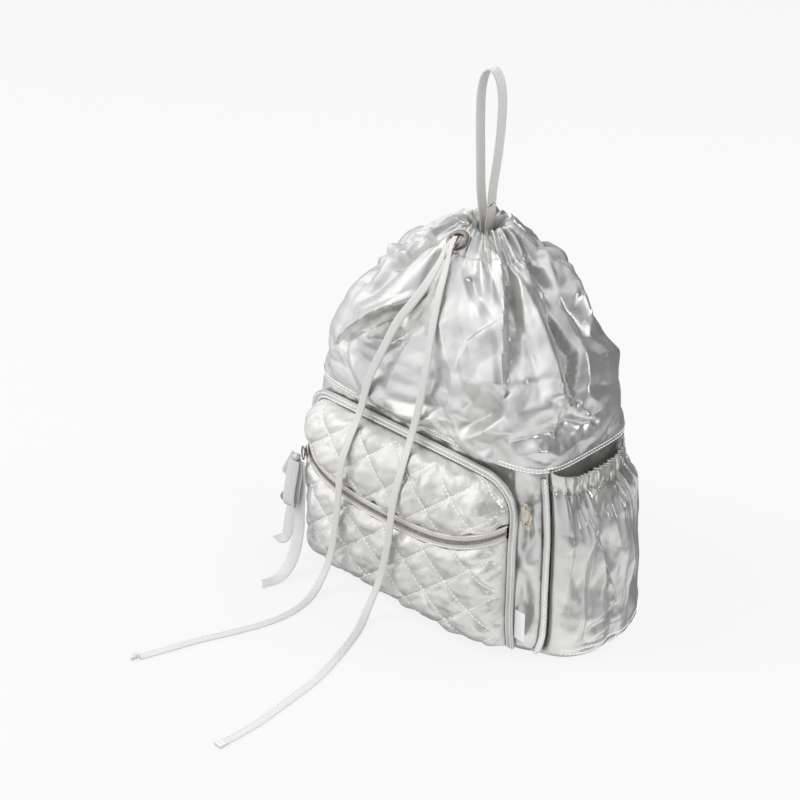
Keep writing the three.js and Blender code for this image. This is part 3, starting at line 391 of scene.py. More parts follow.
def evenPath(points, step):
    points = np.asarray(points, float)
    reach = reachOf(points)
    places = np.linspace(0, reach[-1], max(int(round(reach[-1] / step)), 2) + 1)
    return valuesAt(places, reach, points), places


def facedPath(route, looks, step):
    fine, fineLooks = smoothPath(route, 10), smoothPath(looks, 10)
    path, reach = evenPath(fine, step)
    return path, reach, unit(valuesAt(reach, reachOf(fine), fineLooks))


def unit(vectors):
    return vectors / np.maximum(np.linalg.norm(vectors, axis=-1, keepdims=True), 1e-9)


def tubeFaces(count, sides, closed):
    faces = []
    for i in range(count if closed else count - 1):
        j = (i + 1) % count
        for k in range(sides):
            m = (k + 1) % sides
            faces.append((i * sides + k, i * sides + m, j * sides + m, j * sides + k))
    if not closed:
        faces += [tuple(range(sides))[::-1], tuple((count - 1) * sides + k for k in range(sides))]
    return faces


# a band swept along a path; section is a closed list of (across, out) in millimetres
def sweep(path, facings, section, closed=False, taper=None):
    tangents = unit(alongRing(path)) if closed else along(path)
    broad = unit(np.cross(facings, tangents))
    out = np.cross(tangents, broad)
    section = np.asarray(section, float)
    scale = np.ones(len(path)) if taper is None else taper
    points = path[:, None] + (broad[:, None] * section[None, :, :1]
        + out[:, None] * section[None, :, 1:]) * scale[:, None, None]
    count, sides = len(path), len(section)
    faces = tubeFaces(count, sides, closed)
    reach = reachOf(path)
    cloth = pairs(section[None, :, 0], reach[:, None]).reshape(-1, 2)
    return points.reshape(-1, 3), faces, cloth


def flatSection(width, thickness, steps=6, crown=0.0):
    x = np.r_[-1, np.linspace(-0.93, 0.93, steps - 1), 1]
    edge = np.where(np.abs(x) > 0.95, 0.25, 0.5) * thickness
    top = np.stack([x * width / 2, edge + crown * (1 - x**2)], 1)
    low = np.stack([x[::-1] * width / 2, -edge[::-1] + crown * (1 - x[::-1] ** 2)], 1)
    return np.r_[top, low][::-1]


def roundSection(radius, sides=10):
    turn = np.arange(sides) / sides * 2 * math.pi
    return np.stack([np.cos(turn) * radius, np.sin(turn) * radius], 1)


def joinParts(parts):
    points, faces, cloth, start = [], [], [], 0
    for part in parts:
        points.append(part[0])
        faces += [tuple(index + start for index in face) for face in part[1]]
        cloth.append(part[2] if len(part) > 2 else np.asarray(part[0])[:, :2])
        start += len(part[0])
    return np.concatenate(points), faces, np.concatenate(cloth)


# stitches: one small spindle of thread for each place; length, width and height of each kind
stitchSizes = {
    "fold": (1.3, 0.5, 0.5), "seam": (2.7, 0.95, 0.8), "quilt": (2.7, 1.0, 0.8), "binding": (2.5, 0.95, 0.8),
    "tape": (2.3, 0.8, 0.7), "hem": (2.6, 0.95, 0.8), "zigzag": (3.4, 0.9, 0.7), "label": (1.8, 0.5, 0.4),
    "patch": (2.2, 0.6, 0.5), "coil": (3.3, 0.85, 1.5),
}
stitchRings = [(-0.5, 0.3), (-0.25, 0.95), (0.25, 0.95), (0.5, 0.3)]


def stitchParts(centres, alongs, outs, length, width, height):
    sides = 5
    centres, alongs, outs = (np.asarray(v, float).reshape(-1, 3) for v in (centres, alongs, outs))
    alongs = unit(alongs)
    outs = unit(outs - alongs * np.sum(outs * alongs, 1, keepdims=True))
    across = np.cross(outs, alongs)
    turn = np.arange(sides) / sides * 2 * math.pi
    shape = np.array([(x, r * math.cos(t), r * math.sin(t)) for x, r in stitchRings for t in turn])
    points = centres[:, None]
    for way, k, size in ((alongs, 0, length), (across, 1, width / 2), (outs, 2, height / 2)):
        points = points + way[:, None] * shape[:, k : k + 1] * size
    base = tubeFaces(len(stitchRings), sides, False)
    faces = [tuple(index + n * len(shape) for index in face) for n in range(len(centres)) for face in base]
    return points.reshape(-1, 3), faces, np.tile(shape[:, :2] * 4, (len(centres), 1))


def sew(name, slot, kind, *rows):
    # a row is where its stitches lie, the way they run and the way out of the cloth
    return putPiece(name, joinParts([stitchParts(*row, *stitchSizes[kind]) for row in rows]), seamThread)


# finds a place and its outward direction on a finished cloth from that cloth's own flat map
def clothCarrier(piece, flat):
    mesh = piece.data
    points = np.empty(len(mesh.vertices) * 3)
    normals = np.empty(len(mesh.vertices) * 3)
    mesh.vertices.foreach_get("co", points)
    mesh.vertex_normals.foreach_get("vector", normals)
    points, normals = points.reshape(-1, 3) / mm, normals.reshape(-1, 3)
    tree = kdtree.KDTree(len(flat))
    for index, (a, b) in enumerate(flat):
        tree.insert((a, b, 0), index)
    tree.balance()

    def carry(a, b):
        near = tree.find_n((a, b, 0), 4)
        weights = np.array([1 / (distance + 0.05) ** 2 for _, _, distance in near])
        weights /= weights.sum()
        which = [index for _, index, _ in near]
        return weights @ points[which], weights @ normals[which]

    return carry


def stitchLine(spots, carry, line, pitch, lift):
    # line: places on the flat map in millimetres; adds centres, directions and normals to the three lists in spots
    line = np.asarray(line, float)
    reach = reachOf(line)
    if reach[-1] < pitch * 1.5:
        return
    places = np.arange(pitch / 2, reach[-1], pitch)
    found = [carry(np.interp(at, reach, line[:, 0]), np.interp(at, reach, line[:, 1])) for at in places]
    centres = np.array([spot + out * lift for spot, out in found])
    for store, values in zip(spots, (centres, np.gradient(centres, axis=0), [out for _, out in found])):
        store.extend(values)


# runs Blender's cloth on a finished shape, then caps how far any point moved and keeps the result
def settleCloth(piece, pins, pressure, grow, frames, cap, bending=0.3):
    mesh = piece.data
    start = np.empty(len(mesh.vertices) * 3)
    mesh.vertices.foreach_get("co", start)
    group = piece.vertex_groups.new(name="pinned")
    for weight in np.unique(np.round(pins, 1)):
        if weight > 0:
            group.add(np.nonzero(np.round(pins, 1) == weight)[0].tolist(), float(weight), "REPLACE")
    modifier = piece.modifiers.new("cloth", "CLOTH")
    cloth = modifier.settings
    cloth.quality = 5
    cloth.mass = 0.12
    cloth.tension_stiffness = cloth.compression_stiffness = 12
    cloth.shear_stiffness = 6
    cloth.bending_stiffness = bending
    cloth.vertex_group_mass = "pinned"
    cloth.shrink_min = -grow
    cloth.use_pressure = True
    cloth.uniform_pressure_force = pressure
    cloth.effector_weights.gravity = 0
    modifier.collision_settings.use_collision = False
    modifier.point_cache.frame_start = 1
    modifier.point_cache.frame_end = frames
    for number in range(1, frames + 1):
        scene.frame_set(number)
    shown = piece.evaluated_get(bpy.context.evaluated_depsgraph_get())
    moved = np.empty(len(mesh.vertices) * 3)
    shown.data.vertices.foreach_get("co", moved)
    shift = (moved - start).reshape(-1, 3)
    length = np.linalg.norm(shift, axis=1, keepdims=True)
    shift *= np.minimum(1, cap * mm / np.maximum(length, 1e-9))
    piece.modifiers.remove(modifier)
    mesh.vertices.foreach_set("co", (start.reshape(-1, 3) + shift).ravel())
    mesh.update()
    scene.frame_set(1)
    print("settled", piece.name, "moved up to", round(float(length.max() / mm), 1), "mm, mean",
        round(float(length.mean() / mm), 2))


def refine(piece):
    modifier = piece.modifiers.new("smooth", "SUBSURF")
    modifier.levels = modifier.render_levels = 1
    modifier.boundary_smooth = "PRESERVE_CORNERS"


# laces, first because they reach furthest
lace = {"width": 8, "thickness": 1.2, "fold": 9}
laceLeftRoute = [
    (-1, -23, 348), (-1.5, -32.6, 342.4), (0, -43, 331), (-3, -54.5, 315), (-11, -64, 297), (-22, -71, 278),
    (-34, -77, 249),
    (-48, -80.5, 217), (-58, -85, 175), (-57, -99, 155), (-57, -108, 136), (-62, -110.5, 84), (-68, -116, 29),
    (-69, -128, 9),
    (-65, -144, 2), (-61, -170, 1.2), (-64, -195, 1.2), (-75, -227, 1.2), (-88, -257, 1.2), (-99, -289, 1.2),
    (-107, -312, 1.2),
]
laceRightRoute = [
    (1, -24.2, 350), (5, -34, 344.4), (10, -45.5, 330), (14, -58, 311), (17, -69, 283), (18, -77, 250),
    (14, -80, 217),
    (7, -84.5, 178), (10, -99, 154), (9, -108.5, 125), (4, -110.5, 81), (-4, -114, 36), (-6, -128, 9), (2, -146, 2),
    (17, -185, 1.2), (28, -222, 1.2), (33, -260, 1.2), (37, -303, 1.2), (36, -335, 1.2),
]


def laceFacing(path):
    lie = smoothStep(0, 1, (60 - path[:, 2]) / 56) * 0.98 + 0.02
    facing = np.outer(1 - lie, (0, -1, 0)) + np.outer(lie, (0, 0, 1))
    nearEyelet = smoothStep(22, 4, np.linalg.norm(path - path[0], axis=1))[:, None]
    return unit(facing * (1 - nearEyelet) + np.array([0, -0.51, 0.86]) * nearEyelet)


def makeLace(name, node, route):
    path, reach = evenPath(smoothPath(route, 12), 2.5)
    # bunched where it comes through the eyelet
    bunched = 0.52 + 0.48 * smoothStep(6, 50, reach)
    band = sweep(path, laceFacing(path), flatSection(lace["width"], lace["thickness"], 6), taper=bunched)
    return putPiece(name, band, laceTape, [node]), path, reach[-1]


laceLeft, leftPath, leftLength = makeLace("laceLeft", "lace_left", laceLeftRoute)
laceRight, rightPath, rightLength = makeLace("laceRight", "lace_right", laceRightRoute)

# overhand knot at the left lace's end: the tape drawn once round itself, with a short frayed tip
leftRun = unit(leftPath[-1] - leftPath[-4])
knotMiddle = leftPath[-1] + leftRun * 3.4
knotMiddle[2] = 3.7
sideRun = np.cross((0, 0, 1), leftRun)
knotTurn = np.linspace(0, 2 * math.pi, 60, endpoint=False)
knotPath = knotMiddle + np.outer(np.sin(knotTurn) + 1.7 * np.sin(2 * knotTurn),
    leftRun) * 0.85 + np.outer(np.cos(knotTurn) - 1.7 * np.cos(2 * knotTurn), sideRun) * 0.85
knotPath[:, 2] -= np.sin(3 * knotTurn) * 1.1
knotBand = sweep(knotPath, (0, 0, 1), roundSection(1.35, 8) * (1.25, 0.8), closed=True)
tipPath = np.array([knotMiddle + leftRun * d + np.array([0, 0, -1.6 - 0.12 * d]) for d in (1.5, 3.0, 4.4)])
tipBand = sweep(tipPath, (0, 0, 1), flatSection(4.4, 1.2, 4))
laceKnot = putPiece("laceLeftKnot", joinParts([knotBand, tipBand]), laceTape, ["lace_left_knot"])

# folded and stitched end of the right lace
rightRun = unit(rightPath[-1] - rightPath[-4])
foldOut = np.cross((0, 0, 1), rightRun)
foldPath = np.array([rightPath[-1] + rightRun * d for d in np.linspace(0.2, lace["fold"], 8)])
foldPath[:, 2] = 1.7
foldBand = sweep(foldPath, (0, 0, 1), flatSection(lace["width"] + 0.6, 2.6, 6))
foldSpots = [foldPath[k] + foldOut * s + np.array([0, 0, 1.3]) for k in (3, 6) for s in np.linspace(-3, 3, 5)]
laceEnd = putPiece("laceRightEnd", foldBand, laceTape, ["lace_right_end"])
laceEndStitches = sew("laceEndStitches", "woven_lace", "fold", (foldSpots, foldOut, (0, 0, 1)))
print("laces", round(leftLength), round(rightLength), "mm")

# body cloth
body = {"width": 288, "depth": 148, "seam": 182, "rise": 168, "gap": 0.3, "mouthWidth": 40, "mouthDepth": 26,
    "mouthBack": 13, "foldDepth": 13, "gatherDepth": 2.4, "gathers": 17}
halfWidth, halfDepth = body["width"] / 2, body["depth"] / 2
# rise, width, depth, squareness, as in the frame's own sections
lowerSections = np.array([
    (0, 1.0, 0.96, 6), (0.03, 1.02, 0.99, 6.5), (0.12, 1.03, 1.01, 6.5), (0.35, 1.015, 1.02, 6),
    (0.62, 1.0, 1.02, 6), (0.85, 0.99, 1.0, 5.5), (1, 0.985, 0.98, 5),
])
# rise, width, depth, squareness, share of the mouth's shift to the back
upperSections = np.array([
    (0, 0.98, 0.97, 5, 0), (0.12, 0.99, 1.0, 4.2, 0.05), (0.25, 0.97, 1.01, 3.6, 0.1), (0.39, 0.91, 1.0, 3.1, 0.3),
    (0.53, 0.8, 0.95, 2.8, 0.5), (0.66, 0.67, 0.86, 2.5, 0.7), (0.77, 0.53, 0.74, 2.3, 0.85),
    (0.86, 0.38, 0.58, 2.2, 1),
    (0.915, 0.27, 0.43, 2.1, 1), (0.965, 0.16, 0.26, 2, 1), (1, 0.06, 0.09, 2, 1), (0.975, -0.02, -0.03, 2, 1),
    (0.93, -0.04, -0.05, 2, 1),
])
# a fold's top and foot as shares of the climb, where it starts and ends round the bag, its widths and its depth
folds = [
    (0.74, 0.3, 0.17, 0.2, 0.012, 0.02, -0.4), (0.72, 0.2, 0.205, 0.245, 0.025, 0.03, 0.2),
    (0.74, 0.4, 0.12, 0.14, 0.01, 0.016, -0.4), (0.72, 0.25, 0.09, 0.11, 0.014, 0.02, 0.2),
    (0.7, 0.3, 0.01, 0.03, 0.02, 0.04, 0.35), (0.7, 0.2, -0.03, -0.06, 0.01, 0.018, -0.6),
    (0.7, 0.22, -0.1, -0.15, 0.014, 0.02, -0.7), (0.68, 0.3, -0.16, -0.22, 0.016, 0.02, -0.6),
    (0.3, 0.02, 0.06, 0.035, 0.014, 0.02, -0.2),
    (0.7, 0.2, 0.26, 0.27, 0.015, 0.02, -0.6), (0.7, 0.25, 0.37, 0.36, 0.02, 0.03, -0.6),
    (0.7, 0.25, 0.48, 0.49, 0.02, 0.03, -0.5), (0.7, 0.25, 0.6, 0.62, 0.02, 0.03, -0.6),
    (0.7, 0.2, 0.72, 0.71, 0.015, 0.02, -0.6),
]


def tableAt(table, places):
    places = np.clip(np.asarray(places, float), 0, len(table) - 1 - 1e-9)
    low = places.astype(int)
    t = (places - low)[:, None]
    slope = np.gradient(table, axis=0)
    return curveBetween(t, table[low], slope[low], table[low + 1], slope[low + 1])


def roundedLoop(shares, reachX, reachY, square):
    turn = np.linspace(0, 2 * math.pi, 721)
    side, front = np.sin(turn), np.cos(turn)
    reach = (np.abs(side / reachX) ** square + np.abs(front / reachY) ** square) ** (-1 / square)
    x, y = reach * side, -reach * front
    walked = np.r_[0, np.cumsum(np.hypot(np.diff(x), np.diff(y)))]
    at = np.mod(shares, 1) * walked[-1]
    return np.interp(at, walked, x), np.interp(at, walked, y)


def away(shares, place):
    return np.mod(shares - place + 0.5, 1) - 0.5


def upperBase(shares, climbs):
    rows = tableAt(upperSections, climbs * (len(upperSections) - 1))
    points = np.empty((len(climbs), len(shares), 3))
    for k, (rise, width, depth, square, back) in enumerate(rows):
        reachX = body["mouthWidth"] / 2 + (halfWidth - body["mouthWidth"] / 2) * width
        reachY = body["mouthDepth"] / 2 + (halfDepth - body["mouthDepth"] / 2) * depth
        x, y = roundedLoop(shares, reachX, reachY, square)
        z = np.full_like(x, body["seam"] + body["gap"] + body["rise"] * rise)
        points[k] = np.stack([x, y + body["mouthBack"] * back, z], 1)
    return points


# creases of the coated cloth: places round the bag and up the climb, then its profile across that line: how far
# to the right of a line that falls (or above one that runs right), and how high the cloth stands there, in mm
upperCreases = [
    ([(0.174, 0.77), (0.186, 0.57), (0.197, 0.39), (0.199, 0.27), (0.198, 0.225)],
    [(-16, 0), (-0.8, 5.6), (0.8, 5.2), (18, -8), (32, 0)]),
    ([(0.131, 0.77), (0.155, 0.66), (0.146, 0.5), (0.14, 0.39), (0.136, 0.28)],
    [(-30, 0), (-12, 2.2), (-0.8, 4.2), (1.4, -4.0), (14, -1), (26, 0)]),
    ([(0.174, 0.66), (0.161, 0.51), (0.156, 0.42)], [(-7, 0), (0, -2.6), (7, 0)]),
    ([(0.07, 0.259), (0.1, 0.261), (0.134, 0.277)], [(-34, 0), (-22, -2.6), (0, 2.6), (25, 1), (45, 0)]),
    ([(0.067, 0.271), (0.083, 0.367), (0.124, 0.427)], [(-18, 0), (-1, 2.4), (1, -0.6), (14, 0)]),
    ([(0.13, 0.188), (0.163, 0.217), (0.196, 0.231)],
    [(-32, 0), (-21, -3), (-0.6, 2.8), (0.8, 2.9), (16, 1), (30, 0)]),
    ([(0.239, 0.337), (0.28, 0.3), (0.33, 0.263)], [(-20, 0), (0, 4.2), (12, 0)]),
    ([(0.224, 0.49), (0.232, 0.41), (0.239, 0.337), (0.229, 0.253)], [(-12, 0), (-1, -3), (1.5, 2.4), (18, 0)]),
    ([(0.229, 0.253), (0.22, 0.237), (0.243, 0.144)], [(-12, 0), (-1, 3), (1.5, -3), (12, 0)]),
    ([(0.207, 0.184), (0.225, 0.16), (0.243, 0.142)], [(-11, 0), (-2, -1.6), (2, 1.3), (12, 0)]),
    ([(0.172, 0.207), (0.174, 0.17), (0.182, 0.132), (0.197, 0.116), (0.243, 0.138)],
    [(-12, 0), (0, -2), (5, -1.8), (15, 0)]),
    ([(0.17, 0.122), (0.173, 0.088), (0.184, 0.08)], [(-9, 0), (0, 1.3), (9, 0)]),
    ([(0.068, 0.078), (0.1, 0.142), (0.127, 0.217)], [(-22, 0), (-9, 3.2), (0, -4.2), (14, 1), (24, 0)]),
    ([(0.053, 0.1), (0.084, 0.03), (0.12, 0.01)], [(-14, 0), (0, 2.6), (12, 0)]),
    ([(0.006, 0.52), (-0.056, 0.39), (-0.11, 0.265), (-0.141, 0.174)], [(-10, 0), (-1, 2.4), (1, -3.2), (14, 0)]),
    ([(-0.007, 0.467), (-0.062, 0.333), (-0.11, 0.219)], [(-9, 0), (-1, -2.8), (1, 2.2), (12, 0)]),
    ([(-0.023, 0.523), (-0.046, 0.307), (-0.069, 0.106)], [(-20, 0), (0, -3), (18, 0)]),
    ([(0.019, 0.455), (0.063, 0.239), (0.048, 0.086)], [(-24, 0), (0, 3), (20, 0)]),
    ([(-0.046, 0.02), (0.0, 0.05), (0.04, 0.084)], [(-12, 0), (0, 2.6), (10, -1), (18, 0)]),
    ([(-0.114, 0.188), (-0.08, 0.094), (-0.046, 0.02)], [(-12, 0), (0, 2.6), (12, 0)]),
    ([(-0.088, 0.249), (-0.06, 0.243), (-0.036, 0.299)], [(-7, 0), (-1, 2.2), (1, -2.2), (8, 0)]),
    ([(-0.158, 0.459), (-0.117, 0.503), (-0.121, 0.561)], [(-6, 0), (0, -3), (6, 0)]),
    ([(-0.209, 0.469), (-0.133, 0.537), (-0.146, 0.602)], [(-6, 0), (0, 2.6), (6, 0)]),
    ([(-0.117, 0.718), (-0.188, 0.559), (-0.158, 0.459)], [(-10, 0), (0, 3), (8, 0)]),
    ([(0.132, 0.429), (0.088, 0.523), (0.072, 0.573)], [(-8, 0), (0, -2.6), (8, 0)]),
    ([(0.194, 0.658), (0.212, 0.57), (0.23, 0.491)], [(-6, 0), (0, 3.2), (7, 0)]),
    ([(0.385, 0.66), (0.342, 0.551), (0.294, 0.465), (0.29, 0.367)],
    [(-18, 0), (-0.8, 4.6), (0.8, 4), (18, -5), (30, 0)]),
    ([(0.32, 0.68), (0.264, 0.505), (0.286, 0.457)], [(-10, 0), (0, 2.8), (10, 0)]),
]
# the sides that the photograph hides are creased in the same way, from a fixed seed
for number in range(34):
    at, top = dice.uniform(0.36, 0.82), dice.uniform(0.3, 0.72)
    turnAway, fallTo = dice.uniform(-0.06, 0.06), max(top - dice.uniform(0.12, 0.4), 0.03)
    edge, drop, wide = dice.uniform(-3, 4.5), dice.uniform(-4, 2), dice.uniform(6, 16)
    upperCreases.append(([(at, top), (at + turnAway * 0.4, (top + fallTo) / 2), (at + turnAway, fallTo)],
        [(-wide, 0), (-0.8, edge), (1, edge * 0.6), (wide, drop), (wide * 1.8, 0)]))


# length: of the cloth from the seam to the rim
upperGrid = {"columns": 400, "low": 86, "high": 54, "length": 235.0, "crumple": 1.8, "pitch": 60, "creases": 2.05}


def creaseShape(a, b, line, profile):
    # how high one crease lifts the cloth, from places a and b and a line of corners, all in millimetres
    best, signed, run = np.full(a.shape, 1e9), np.zeros(a.shape), np.zeros(a.shape)
    for k in range(len(line) - 1):
        (x0, y0), (x1, y1) = line[k], line[k + 1]
        dx, dy = x1 - x0, y1 - y0
        t = np.clip(((a - x0) * dx + (b - y0) * dy) / (dx * dx + dy * dy), 0, 1)
        d = np.hypot(a - x0 - dx * t, b - y0 - dy * t)
        nearer = d < best
        best = np.where(nearer, d, best)
        signed = np.where(nearer, d * np.sign(dx * (b - y0) - dy * (a - x0)), signed)
        run = np.where(nearer, (k + t) / (len(line) - 1), run)
    fade = smoothStep(-0.02, 0.3, run) * (1 - 0.7 * smoothStep(0.85, 1.0, run))
    return np.interp(signed, *np.array(profile, float).T) * fade


def creaseLift(shares, climbs, girth):
    lift = np.zeros((len(climbs), len(shares)))
    length = upperGrid["length"]
    for line, profile in upperCreases:
        middle = line[len(line) // 2][0]
        a = away(shares[None, :], middle) * girth[:, None]
        corners = [(float(away(at, middle)) * float(np.interp(up, climbs, girth)), up * length) for at, up in line]
        lift += creaseShape(a, climbs[:, None] * length + a * 0, corners, profile)
    return lift


def upperLift(shares, climbs, girth):
    s, c = shares[None, :], climbs[:, None]
    lift = np.zeros((len(climbs), len(shares)))
    for top, foot, startAt, endAt, startWide, endWide, deep in folds:
        run = np.clip((c - foot) / (top - foot), 0, 1)
        wide = endWide + (startWide - endWide) * run
        d = away(s, endAt + (startAt - endAt) * run) + 0.004 * np.sin(19 * c + 60 * endAt)
        fade = smoothStep(0, 0.35, run) * (1 - smoothStep(0.85, 1, run))
        lift += deep * body["foldDepth"] * fade * np.exp(-(np.abs(d / wide) ** 1.55))
    ramp = smoothStep(0.3, 0.66, c) * (1 - smoothStep(0.8, 0.98, c))
    flat = 1 - np.exp(-((away(s, 0) / 0.095) ** 4))
    swing = s + 0.006 * np.sin(37 * s) + 0.004 * np.sin(9 * c + 40 * s)
    gather = 1.2 - 2.2 * np.abs(np.sin(math.pi * body["gathers"] * swing)) + 0.4 * np.cos(2 * math.pi
        * (body["gathers"] * 2 + 3) * swing + 1.3)
    lift += body["gatherDepth"] * ramp * flat * gather
    # small pleats under the channel's stitches, and the scrunched rim above them
    fine = smoothStep(0.55, 0.68, c) * (1 - smoothStep(0.93, 1, c))
    pleats = np.abs(np.sin(math.pi * 34 * (s + 0.012 * np.sin(23 * s)) + 3 * c + 1.1 * np.sin(50 * s)))
    lift += 3.6 * fine * (0.4 + 0.6 * flat) * (0.55 - pleats)
    channel = np.exp(-(((c - 0.665) / 0.012) ** 2)) + 0.6 * np.exp(-(((c - 0.80) / 0.01) ** 2))
    lift -= 1.3 * channel * (0.35 + 0.65 * flat)
    lift += 0.5 * wavyNoise(s * girth.max() / 26, c * 8, 3) * smoothStep(0.02, 0.2, c)
    return lift + upperGrid["creases"] * creaseLift(shares, climbs, girth)


def backSeam(count):
    # columns start at the middle of the back, where no seam of the cloth map shows
    return (np.arange(count) / count + 0.5) % 1


shares = backSeam(upperGrid["columns"])
climbs = np.r_[np.linspace(0, 0.6, upperGrid["low"]), np.linspace(0.6, 1, upperGrid["high"])[1:]]
upperPoints = upperBase(shares, climbs)
girth = np.array([np.linalg.norm(np.diff(row, axis=0), axis=1).sum() for row in upperPoints])
upperOut = gridNormals(upperPoints, True)
crushed = upperGrid["crumple"] * crumple(upperPoints, 5,
    upperGrid["pitch"]) * (smoothStep(0, 0.08, climbs) * (1 - 0.5 * smoothStep(0.55, 0.8, climbs)))[:, None]
upperPoints = upperPoints + upperOut * (upperLift(shares, climbs, girth) + crushed)[:, :, None]
# the ruffle's peaks stand up unevenly round the rim, highest at the back
peaks = np.exp(-(((climbs[:, None] - 0.83) / 0.07) ** 2)) * (13
    * np.abs(wavyNoise(shares[None, :] * 34, climbs[:, None] * 0, 5)) - 2
    + 5.5 * np.exp(-((away(shares[None, :], 0.45) / 0.2) ** 2)))
upperPoints[:, :, 2] += np.maximum(peaks, -2)
upperFlat = pairs(away(shares, 0) * 700, climbs[:, None] * 260)
upperCloth = putPiece("upperCloth", gridPart(upperPoints, True, upperFlat), silverNylon,
    ["upper_body"])
pinRows = np.where(climbs < 0.012, 1.0, 0) + 0.9 * smoothStep(0.6, 0.7, climbs)
eyeletPin = 0.8 * np.exp(-((away(shares, 0) / 0.03) ** 2))[None, :] * smoothStep(0.5, 0.6, climbs)[:, None]
settleCloth(upperCloth, np.clip(pinRows[:, None] + eyeletPin, 0, 1).ravel(), 1.0, 0.012, 8, 1.8, bending=1.0)
print("upper cloth made")


def bodyReach(height, offset, half, column, other, halfOther):
    # how far the lower half stands from the middle at a height, on one side of it
    rise = np.clip(np.asarray(height, float) / body["seam"], 0, 1)
    size, across, square = (np.interp(rise, lowerSections[:, 0], lowerSections[:, k]) for k in (column, other, 3))
    return size * half * (1 - np.minimum(np.abs(offset) / (across * halfOther), 0.995) ** square) ** (1 / square)


def frontReach(x, height):
    return bodyReach(height, x, halfDepth, 2, 1, halfWidth)


def sideReach(y, height):
    return bodyReach(height, y, halfWidth, 1, 2, halfDepth)


lowerShares = backSeam(300)
lowerHeights = np.linspace(0, 1, 60)
lowerPoints = np.empty((60, 300, 3))
for k, rise in enumerate(lowerHeights):
    width, depth, square = (np.interp(rise, lowerSections[:, 0], lowerSections[:, column]) for column in (1, 2, 3))
    x, y = roundedLoop(lowerShares, halfWidth * width, halfDepth * depth, square)
    lowerPoints[k] = np.stack([x, y, np.full_like(x, body["seam"] * rise)], 1)
lowerOut = gridNormals(lowerPoints, True)
slack = np.sin(math.pi * lowerHeights) ** 0.5
# it lies flat where the pocket's binding and the side seams are sewn on
lowerX, lowerY = lowerPoints[..., 0], lowerPoints[..., 1]
sewnOn = {"bindingRight": 119.3, "bindingLeft": 137.3, "seamRight": 57.7, "seamLeft": 46}
toBinding = np.minimum(np.abs(lowerX - sewnOn["bindingRight"]), np.abs(lowerX + sewnOn["bindingLeft"]))
toBinding = np.where(lowerY < 0, toBinding, 20)
toSeam = np.abs(lowerY + np.where(lowerX > 0, sewnOn["seamRight"], sewnOn["seamLeft"]))
panelFree = smoothStep(3, 10, toBinding) * smoothStep(3, 10, toSeam)
lowerPoints += lowerOut * (slack[:, None]
    * ((4.4 - 2.6 * smoothStep(-10, 40, lowerY)) * panelFree * (crumple(lowerPoints, 21, 46) - 0.75)
    - 0.3))[:, :, None]
lowerFlat = pairs(away(lowerShares, 0) * 800, lowerHeights[:, None] * body["seam"])
lowerCloth = putPiece("lowerCloth", gridPart(lowerPoints, True, lowerFlat), silverNylon,
    ["lower_body"])
settleCloth(lowerCloth, np.repeat(np.where((lowerHeights < 0.01) | (lowerHeights > 0.99), 1.0, 0.0), 300), 0.4, 0.01,
    6, 0.6)
refine(lowerCloth)

# top-stitched seam between the two halves
seamShares = np.linspace(0, 1, 260, endpoint=False)
seamX, seamY = roundedLoop(seamShares, halfWidth * 0.985 + 0.2, halfDepth * 0.975 + 0.2, 5)
seamPath = np.stack([seamX, seamY, np.full_like(seamX, body["seam"] + 2.4)], 1)
seamOut = unit(np.cross(alongRing(seamPath), (0, 0, 1)))
seamWidth = 1 + 0.04 * np.sin(seamShares * 700) + 0.03 * wavyNoise(seamShares * 90, seamShares * 0, 4)
seamBand = sweep(seamPath, seamOut, flatSection(5.6, 0.9, 5), closed=True, taper=seamWidth)
putPiece("bodySeam", seamBand, silverNylon)
seamEven, _ = evenPath(np.r_[seamPath, seamPath[:1]], 3.4)
seamEvenOut = unit(np.cross(np.gradient(seamEven, axis=0), (0, 0, 1)))
seamRows = [seamEven + seamEvenOut * 0.5 + (0, 0, rise) for rise in (-1.7, 1.6)]
sew("bodySeamStitches", "coated_nylon", "seam", *[(row, along(seamEven), seamEvenOut) for row in seamRows])
print("lower cloth and seam made")

# front pocket
pocket = {"width": 248, "height": 166, "floor": 2, "left": 9, "bulge": 27, "corner": 30, "pad": 4.5,
    "quiltWidth": 50, "quiltHeight": 42, "quiltDepth": 4.4, "zipHeight": 97, "zipRise": 27, "tape": 5, "coil": 4,
    "binding": 7, "bindingThick": 3.2}
pocketTop = pocket["floor"] + pocket["height"]
zipHalf = pocket["tape"] + pocket["coil"] / 2 + 0.6


def pocketReach(height):
    into = np.maximum(height - (pocketTop - pocket["corner"]), 0)
    return pocket["width"] / 2 - pocket["corner"] + np.sqrt(np.maximum(pocket["corner"] ** 2 - into**2, 0))


def zipLine(side):
    return pocket["zipHeight"] + pocket["zipRise"] * np.abs(side) ** 2.6


def quiltSeams(x, height):
    rising = np.abs(np.sin(math.pi * (x / pocket["quiltWidth"] + height / pocket["quiltHeight"])))
    falling = np.abs(np.sin(math.pi * (x / pocket["quiltWidth"] - height / pocket["quiltHeight"])))
    return rising, falling


